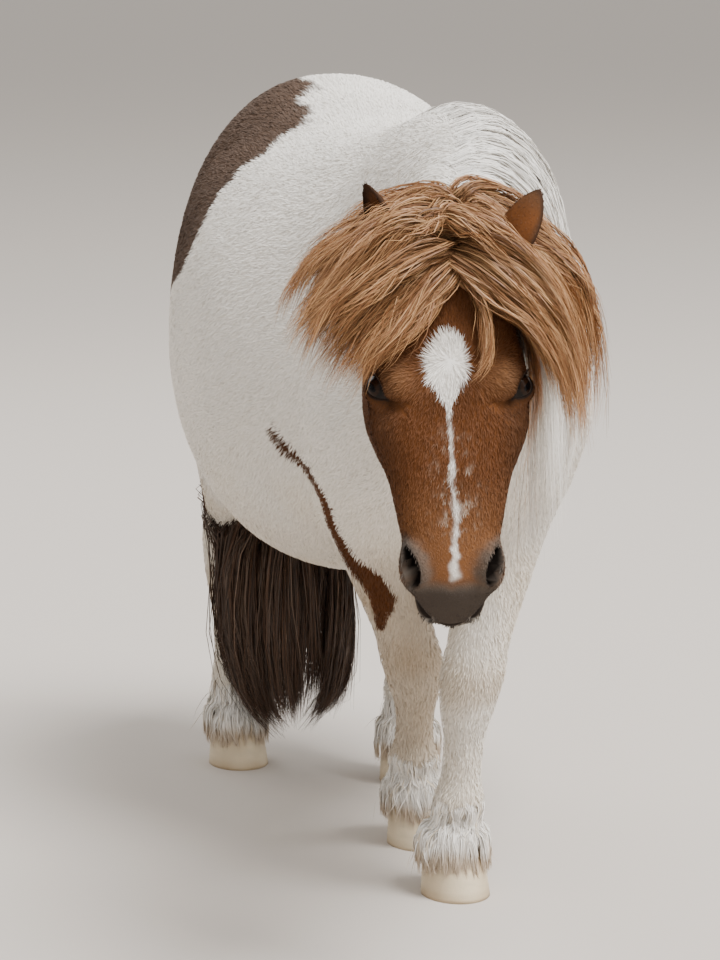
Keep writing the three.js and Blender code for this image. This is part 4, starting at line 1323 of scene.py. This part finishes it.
# Forelock: fans of curves from the poll to both sides of the face, in the head's frame
RIGHT_FAN = [
    [(0.8, -3.5, 0), (-1, -9.4, 3.8), (-7.4, -17.2, 4.6), (-15.4, -25.4, 4.2), (-22.6, -32.4, 1.6),
     (-28, -40, -3)],
    [(0.6, -2.6, 0), (-2.6, -8.6, 4.6), (-9, -16.4, 5.6), (-17.4, -25, 4.8), (-24.6, -32.6, 1),
     (-30, -41, -5)],
    [(0.4, -1.6, 0), (-5.4, -6.4, 5), (-14.6, -13.6, 6.2), (-24, -21.6, 4.6), (-31.6, -29.6, 0),
     (-36, -38, -6)],
    [(0.2, -0.6, 0), (-7.4, -3, 5.4), (-18, -8.4, 7), (-28.4, -14.6, 5.6), (-36, -22.6, 1), (-40, -31, -6)],
    [(0.1, 0.6, 0), (-8, -0.6, 5.6), (-18.6, -4.4, 7.4), (-29, -10, 4.6), (-37, -18, 0.6), (-41.6, -27, -6)],
    [(0, 3, 0), (-6, 3.4, 5.6), (-12, 1.4, 7.6), (-19, -4, 7.4), (-29, -12, 4.6), (-38, -22, -1)],
]
BACK_FAN = [
    [(0, 3, -2), (-8, 2.4, 1.6), (-18, 0.6, 1), (-28.4, -6, 1.6), (-36.6, -14.6, -1), (-41.4, -24, -7)],
    [(-1, 5, -4), (-9, 6.4, -1), (-19, 6.6, -2), (-30, 2, -1), (-38.6, -6, -3), (-43, -16, -9)],
]
CREST_RIGHT = [
    [(0, 5, -3), (-3, 8, 0), (-10, 8, -5), (-21, 5, -6), (-32, -2, -6), (-40, -13, -9)],
    [(2, 6, -4), (-1, 10, 0), (-9, 11.4, -5), (-19, 9.4, -7), (-29, 3, -7), (-37, -7, -10)],
    [(3, 4, -2), (0, 8, 1), (-4, 8.6, 2), (-9, 5.4, 4), (-15, 0, 6.4), (-23, -7, 6)],
]
CREST_LEFT = [
    [(2, 5, -3), (5, 8, 0), (12, 8, -5), (22, 4, -7), (30, -6, -11), (35, -23, -16)],
    [(0, 6, -4), (4, 10, 0), (11, 10.4, -5), (21, 7, -9), (30, -2, -13), (36, -19, -19)],
    [(-2, 4, -2), (2, 8.4, 1.4), (7, 8.6, 2.6), (12.6, 5, 3.4), (19, -1, 4), (25, -10, 2)],
]
CROSSED = [
    [(7, 4, -3), (2, 8, 2), (-5, 7.4, 4.8), (-12, 3, 7), (-22, -6, 6.8), (-33, -18, 1)],
    [(4, 2, 0), (-1, 5, 4.4), (-8, 3, 6.6), (-16, -3, 7.6), (-26, -12, 5), (-36, -24, -2)],
]
CROSSED_BACK = [
    [(-6, 4, -3), (0, 8, 2), (7, 5.4, 4.8), (15, -1, 5.8), (24, -11, 3), (31, -27, -4)],
    [(-3, 2, 0), (2, 4.4, 4), (9, 1, 5.6), (17, -6, 6), (25, -17, 2), (31, -34, -5)],
]
LEFT_FAN = [
    [(1.4, -3.5, 0), (5.6, -9, 4.4), (13, -15.6, 5.4), (23.4, -23, 3.8), (30, -33, -1), (34.6, -46, -8)],
    [(1.6, -2.6, 0), (7, -7, 4.6), (15.4, -14, 5.8), (24.6, -23, 3), (30.6, -35, -3), (34, -53, -10)],
    [(2, -1.2, 0), (8.6, -4.6, 4.6), (17.4, -11.4, 6), (25.8, -20.6, 2.6), (31.6, -34, -4), (34, -56, -12)],
    [(2.6, 0.6, 0), (10, -3, 4.4), (19, -9, 5), (26.8, -17.6, 1.4), (32, -32, -5), (34, -55, -12)],
    [(3, 2, 0), (10.6, 0, 4.4), (19.6, -4.6, 4.8), (28, -12.6, 0.6), (33.4, -27, -6), (35.4, -51, -14)],
]
SIDE_FAN = [
    [(6, 3, -3), (15, 0, -3), (23, -4, -4), (30, -11, -7), (33.6, -25, -11), (34.8, -46, -16)],
    [(8, 6, -6), (18, 5, -8), (28, 1, -11), (34.6, -8, -15), (37, -25, -19), (35.6, -48, -23)],
    [(8, 8, -9), (19, 9, -13), (30, 4, -18), (37, -8, -24), (39, -26, -28), (36.6, -50, -32)],
]
CENTRE_LOCKS = [
    [(1.4, -3, 0), (3.8, -8.4, 5), (7, -15.4, 6.2), (9, -23.5, 6), (8.4, -32, 5), (5.4, -38, 4.6)],
    [(1.8, -3, 0), (4.4, -8.8, 5), (7.8, -16.4, 6), (9.8, -25, 5.6), (8.8, -34, 4.8), (5, -41, 4.2)],
]


def tossed(guides, root, tip):
    """Guides whose points are moved a little, in head units, more towards the tip."""
    count, steps = guides.shape[:2]
    own = random.normal(0, 1, (count, 1, 3))
    bend = random.normal(0, 1, (count, 1, 3))
    t = np.linspace(0, 1, steps)[None, :, None]
    return guides + own * mix(root, tip, t) + bend * tip * np.sin(np.pi * t) * 0.5


# Each fan with its guides, how far they stray at the root and at the tip, how wide hair spreads round a
# guide, and the piece that it goes in
FORELOCK = [
    (RIGHT_FAN, 48, 0.8, 2.2, 0.011, "forelock_right"),
    (BACK_FAN, 16, 0.9, 2.6, 0.011, "forelock_right"),
    (CREST_RIGHT, 18, 1.3, 2.6, 0.011, "forelock_right"),
    (CROSSED, 7, 1.2, 2.6, 0.011, "forelock_right"),
    (LEFT_FAN, 44, 0.8, 1.6, 0.011, "forelock_left"),
    (SIDE_FAN, 28, 1.0, 2.4, 0.011, "forelock_left"),
    (CREST_LEFT, 16, 1.3, 2.6, 0.011, "forelock_left"),
    (CROSSED_BACK, 7, 1.2, 2.6, 0.011, "forelock_left"),
    (CENTRE_LOCKS, 3, 0.2, 0.4, 0.0045, "forelock_left"),
]


FORELOCK_HAIRS = 98
FORELOCK_HAIR_WIDTH = 0.0011
FORELOCK_SHADES = [BROWN, COPPER * 0.6, GOLD * 0.7, COPPER * 0.9, GOLD * 0.9, COPPER * 0.7, TAN, GOLD,
                   BROWN * 1.5]


def forelock_piece(name):
    guides, spread = [], []
    for curves, count, root, tip, width, goes_in in FORELOCK:
        if goes_in == name:
            rows = tossed(fan(curves, count, 0.02), root, tip)
            guides.append(np.stack([smooth_row(guide, np.linspace(0, 1, 8)) for guide in rows]))
            spread += [width] * count
    guides = np.concatenate(guides)
    guides = head_point(guides.reshape(-1, 3)).reshape(guides.shape)
    points, outs, lock = strands(guides, FORELOCK_HAIRS, spread, depth=0.012, wave=0.012, uneven=0.45,
                                 gather=0.45)
    colours = streaked(lock, points.shape[1], FORELOCK_SHADES, root=0.6, tip=1.15)
    mesh = ribbons(name, points, outs, FORELOCK_HAIR_WIDTH, colours)
    piece(name, mesh, long_hair_material)


# Tail: hair that leaves the dock all the way down it
tail = Form([
    (0, 46, 89, 3, 3, 3.4),
    (-0.2, 51, 83, 3.6, 3.4, 3.6),
    (-0.4, 53.4, 75, 4, 3.8, 3.8),
    (-1.4, 52.4, 66, 4.4, 3.8, 3.8),
    (-3.2, 48, 56, 5, 3.8, 3.8),
    (-5.6, 42, 46, 6, 3.8, 3.8),
    (-6.6, 37, 35, 8.2, 3.8, 3.8),
    (-7, 35.2, 22, 9.2, 3.8, 3.8),
    (-6.2, 35, 11, 6.6, 3, 3),
    (-5.6, 35, 5, 1.5, 1, 1),
], axis=2)
TAIL_TWIST = 0.12


def tail_guides(count):
    """Guides that leave the dock one below the other and hang to the tail's end."""
    angle = np.linspace(0, 2 * np.pi, count, endpoint=False) * 7 + random.normal(0, 0.1, count)
    root = 0.1 + 0.34 * random.random(count) ** 0.8
    tip = 1 - 0.12 * random.random(count) ** 2
    depth = random.random(count) ** 1.5
    rows = []
    for t in np.linspace(0, 1, 9):
        lift = 0.004 - 0.018 * depth * (1 - 0.3 * t) - 0.02 * (1 - t) ** 6
        rows.append(tail.point(np.minimum(root + (tip - root) * t, 1), angle + TAIL_TWIST * t, lift))
    return np.stack(rows, 1)


# The dark core of the tail: its share of the length, its thickness against the form's, and its rings
CORE_END = 0.86
CORE_THICKNESS = 0.62
CORE_RINGS = 30
CORE_AROUND = 24


def tail_core():
    """A dark body inside the tail, so that no light shows between its hairs."""
    around = np.linspace(0, 2 * np.pi, CORE_AROUND, endpoint=False)
    rings = []
    for share in np.linspace(0.08, CORE_END, CORE_RINGS):
        ring = tail.point(np.full(CORE_AROUND, share), around)
        thickness = CORE_THICKNESS * (1 - 0.9 * step(0.7, 1, share / CORE_END)) * step(0.04, 0.2, share)
        rings.append(mix(ring.mean(0), ring, thickness))
    points = np.concatenate(rings)
    mesh = mesh_of("tail_core", points, tube_faces(CORE_RINGS, CORE_AROUND))
    set_colours(mesh, DARK_HAIR * (1.2 + 0.5 * noise(points * [1, 1, 0.1], 0.006, 31))[:, None])
    piece("tail_core", mesh, long_hair_material)


TAIL_GUIDES = 116
TAIL_HAIRS = 90
TAIL_HAIR_WIDTH = 0.0017
TAIL_SHADES = [DARK_HAIR, DARK_HAIR * 1.5, BROWN * 0.8, DARK_HAIR, TAUPE * 0.8, TAUPE * 1.2]


def tail_piece():
    guides = tail_guides(TAIL_GUIDES)
    points, outs, lock = strands(guides, TAIL_HAIRS, spread=0.017, depth=0.01, steps=10, wave=0.011,
                                 uneven=0.2, gather=0.3, lift=0.001)
    colours = streaked(lock, points.shape[1], TAIL_SHADES, root=0.8, tip=1.2)
    mesh = ribbons("tail", points, outs, TAIL_HAIR_WIDTH, colours)
    piece("tail", mesh, long_hair_material, ["tail_upper", "tail_lower"])


# Feather: it falls from the fetlock over the heel and the coronet. Rings of the leg above its lowest, and
# the lift of hair there in front and behind, in mm
FEATHER_RINGS = [0.1, 0.6, 1, 1.6, 2.2, 3.2]
LIFT_IN_FRONT = [7, 6, 4.5, 3, 2, 1.5]
LIFT_BEHIND = [9, 11, 11, 8, 5, 2]
FEATHER_GUIDES = 60
FEATHER_HAIRS = 66
FEATHER_HAIR_WIDTH = 0.0012
FEATHER_SHADES = [CREAM * 1.25, WHITE * 1.1, WHITE, WHITE * 1.15]


def feather_guides(leg):
    """Guides round a leg, from the fetlock down to the coronet."""
    count = FEATHER_GUIDES
    turn = np.linspace(-180, 180, count, endpoint=False) * 7 + random.normal(0, 5, count)
    back = np.cos(np.radians(turn)) * 0.5 + 0.5
    root = random.uniform(0.9, 3.1, count)
    tip = np.maximum(root - random.uniform(1.1, 1.6, count), random.uniform(0.15, 0.4, count))
    path = []
    for t in np.linspace(0, 1, 6):
        ring = mix(root, tip, t)
        in_front = np.interp(ring, FEATHER_RINGS, LIFT_IN_FRONT)
        behind = np.interp(ring, FEATHER_RINGS, LIFT_BEHIND)
        lift = mix(-3, mix(in_front, behind, back), min(4 * t, 1))
        path.append(leg.point(1 - ring / (len(leg.rows) - 1), np.radians(turn - 90), lift * MM))
    return np.stack(path, 1)


def feather_piece():
    guides = np.concatenate([feather_guides(leg) for leg in legs.values()])
    points, outs, lock = strands(guides, FEATHER_HAIRS, spread=0.013, depth=0.005, steps=7, wave=0.003,
                                 uneven=0.16, gather=0.05, lift=0.002, floor=0.004)
    colours = streaked(lock, points.shape[1], FEATHER_SHADES, root=1.0, tip=1.0)
    height = points[..., 2].ravel() + 0.008 * noise(points.reshape(-1, 3), 0.012, 17)
    stain = 0.7 * step(0.056, 0.042, height)
    colours = tint(colours.reshape(-1, 3), STAIN_AND_SHADE * 1.2, stain).reshape(points.shape)
    mesh = ribbons("feather", points, outs, FEATHER_HAIR_WIDTH, colours)
    piece("feather", mesh, long_hair_material)


# Lashes: along the edge of each upper lid, in mm
LASHES = 70
LASH = 7.5
LASH_WIDTH = 0.0006


def lashes_piece():
    x = random.uniform(-13, 11, 2 * LASHES)
    edge = -0.12 * x + UPPER_LID * np.clip(1 - (np.abs(x) / LID_HALF_WIDTH) ** 2.3, 0, 1)
    ball = EYE_RADIUS / MM
    ways = unit(np.stack([x, edge + 0.8, np.sqrt(np.maximum(ball**2 - x**2 - edge**2, 4))], 1))
    root = ways * (ball + LID_THICKNESS)
    out = unit(ways + np.stack([0.03 * x, 0.1 + 0 * x, 0 * x], 1))
    out = out * random.uniform(0.6, 1.1, len(x))[:, None] * LASH
    rows = [root + out * t + np.array([0, -0.35, 0]) * LASH * (t - t**2) for t in np.linspace(0, 1, 5)]
    local = np.stack(rows, 1) * MM
    points = np.concatenate([moved(half.reshape(-1, 3), place).reshape(half.shape)
                             for half, place in zip((local[:LASHES], local[LASHES:]), EYE_FRAMES)])
    outs = np.broadcast_to(IN_HEAD[:3, 0], points.shape)
    colours = np.broadcast_to(BROWN * 0.5, points.shape)
    mesh = ribbons("lashes", points, outs, LASH_WIDTH, colours)
    piece("lashes", mesh, long_hair_material)


# Eyes: a ball with a dark iris and a pupil that is wider than tall
EYE_SPAN = math.radians(72)
EYE_GRID = 61
PUPIL = (6.4, 3.4)
IRIS = 10.4
IRIS_COLOUR = np.array([0.018, 0.008, 0.004])
IRIS_RIM_COLOUR = np.array([0.006, 0.004, 0.003])
EYE_WHITE_COLOUR = np.array([0.014, 0.009, 0.007])
PUPIL_COLOUR = np.array([0.002, 0.002, 0.003])


def eye_piece(name, place):
    turn = np.tan(np.linspace(-EYE_SPAN, EYE_SPAN, EYE_GRID) * 0.9)
    x, y = np.meshgrid(turn, turn)
    ways = unit(np.stack([x, y, np.ones_like(x)], -1).reshape(-1, 3))
    balls = ways * EYE_RADIUS
    spot = ways * EYE_RADIUS / MM
    radius = np.hypot(spot[:, 0], spot[:, 1])
    balls = balls * (1 + 0.04 * step(IRIS, 5, radius) * (ways[:, 2] > 0))[:, None]
    rays = noise(np.stack([np.arctan2(spot[:, 1], spot[:, 0]), radius * 0.02, 0 * radius], 1), 0.12, 3)
    iris = IRIS_COLOUR * (1 + 0.25 * rays)[:, None]
    colour = tint(iris, IRIS_RIM_COLOUR, step(IRIS - 2, IRIS, radius))
    colour = tint(colour, EYE_WHITE_COLOUR, step(IRIS + 1, IRIS + 4, radius))
    pupil = np.hypot(spot[:, 0] / PUPIL[0], spot[:, 1] / PUPIL[1])
    colour = tint(colour, PUPIL_COLOUR, step(1.08, 0.92, pupil))
    number = np.arange(EYE_GRID**2).reshape(EYE_GRID, EYE_GRID)
    faces = np.stack([number[:-1, :-1], number[:-1, 1:], number[1:, 1:], number[1:, :-1]], -1)
    faces = faces.reshape(-1, 4)
    if np.linalg.det(place[:3, :3]) < 0:
        faces = faces[:, ::-1]
    mesh = mesh_of(name, moved(balls, place), faces)
    set_colours(mesh, colour)
    piece(name, mesh, eye_material, [name])


# Hooves: a wall that flares to a flat sole, below a coronet that is higher in front
CORONET_HEIGHT = 5.2
CORONET_SLOPE = 0.26
HOOF_AROUND = 48
WALL_HEIGHT = 8


def hoof_piece(name, leg):
    """A hoof whose rings go outward under the sole, up the wall and in at the coronet."""
    x, y = leg.rows[-1, :2] / BODY_UNIT
    wall = Form([
        (x, y + 1, WALL_HEIGHT, 3.6, 4.1, 3.9),
        (x, y + 0.2, WALL_HEIGHT / 2, 4, 4.9, 4.3),
        (x, y - 0.5, 0, 4.4, 5.7, 4.5),
    ], axis=2)
    angle = np.linspace(0, 2 * np.pi, HOOF_AROUND, endpoint=False)
    top = CORONET_HEIGHT + CORONET_SLOPE * 5 * np.sin(angle)
    rings = [wall.point(np.ones(HOOF_AROUND), angle, -inset) for inset in (0.034, 0.02, 0.008)]
    for t in np.linspace(0, 1, 15):
        rings.append(wall.point(1 - top * t / WALL_HEIGHT, angle, 0.0004 * np.sin(t * 40)))
    rings.append(wall.point(1 - top * 1.02 / WALL_HEIGHT, angle, -0.006))
    points = np.concatenate(rings)
    grain = noise(points * [1, 1, 5], 0.012, 21)
    colour = HORN * (1 + 0.12 * grain)[:, None]
    dirt = 0.5 * step(0.016, 0.0, points[:, 2]) + 0.35 * step(0.03, 0.045, points[:, 2]) + 0.12
    colour = tint(colour, STAIN_AND_SHADE, np.clip(dirt + 0.3 * noise(points, 0.02, 22) + 0.12 * grain, 0, 1))
    mesh = mesh_of(name, points, tube_faces(len(rings), HOOF_AROUND))
    set_colours(mesh, colour)
    piece(name, mesh, horn_material, [name])


short_coat(skin)
mane_piece()
forelock_piece("forelock_left")
forelock_piece("forelock_right")
tail_core()
tail_piece()
feather_piece()
lashes_piece()
for side, place in zip(("left", "right"), EYE_FRAMES):
    eye_piece(f"eye_{side}", place)
for foot, leg in legs.items():
    hoof_piece(f"hoof_{foot}", leg)


# Floor and light. Each lamp has a place, a size and a power, and faces the middle of the pony
FLOOR_SIZE = 2000
FLOOR_COLOUR = (0.54, 0.49, 0.44, 1)
SKY_COLOUR = (1, 0.985, 0.965, 1)
SKY_STRENGTH = 0.85
LAMPS = [
    ("key", (3.6, -4.6, 12), 6.0, 3300),
    ("fill", (3.0, -2.5, 2.5), 3.0, 50),
    ("back", (-1.0, 3.5, 3.5), 3.0, 60),
]
LAMPS_FACE = Vector((0, 0, 0.5))


def floor_and_light():
    bpy.ops.mesh.primitive_plane_add(size=FLOOR_SIZE, location=(0, 0, 0))
    floor = bpy.context.object
    floor.name = "floor"
    material, _, principled = shader("floor", 0.9)
    principled.inputs["Base Color"].default_value = FLOOR_COLOUR
    floor.data.materials.append(material)
    world = bpy.data.worlds.new("world")
    bpy.context.scene.world = world
    world.use_nodes = True
    sky = world.node_tree.nodes["Background"]
    sky.inputs["Color"].default_value = SKY_COLOUR
    sky.inputs["Strength"].default_value = SKY_STRENGTH
    for name, place, size, power in LAMPS:
        lamp = bpy.data.lights.new(name, "AREA")
        lamp.energy = power
        lamp.size = size
        made = bpy.data.objects.new(name, lamp)
        made.location = place
        made.rotation_euler = (LAMPS_FACE - Vector(place)).to_track_quat("-Z", "Y").to_euler()
        bpy.context.scene.collection.objects.link(made)


# Camera: its place, and how it is turned from looking along +Y, in radians
CAMERA_PLACE = (-0.992, -3.516, 1.034)
CAMERA_TURN = 0.259
CAMERA_DOWN = 0.157
CAMERA_ROLL = 0.004
LENS = 116.25


def add_camera():
    data = bpy.data.cameras.new("camera")
    data.lens = LENS
    data.sensor_width = 36
    camera = bpy.data.objects.new("camera", data)
    forward = Vector((math.sin(CAMERA_TURN) * math.cos(CAMERA_DOWN),
                      math.cos(CAMERA_TURN) * math.cos(CAMERA_DOWN), -math.sin(CAMERA_DOWN)))
    camera.location = CAMERA_PLACE
    camera.rotation_mode = "QUATERNION"
    roll = Matrix.Rotation(CAMERA_ROLL, 4, forward).to_quaternion()
    camera.rotation_quaternion = roll @ forward.to_track_quat("-Z", "Y")
    bpy.context.scene.collection.objects.link(camera)
    bpy.context.scene.camera = camera


floor_and_light()
add_camera()
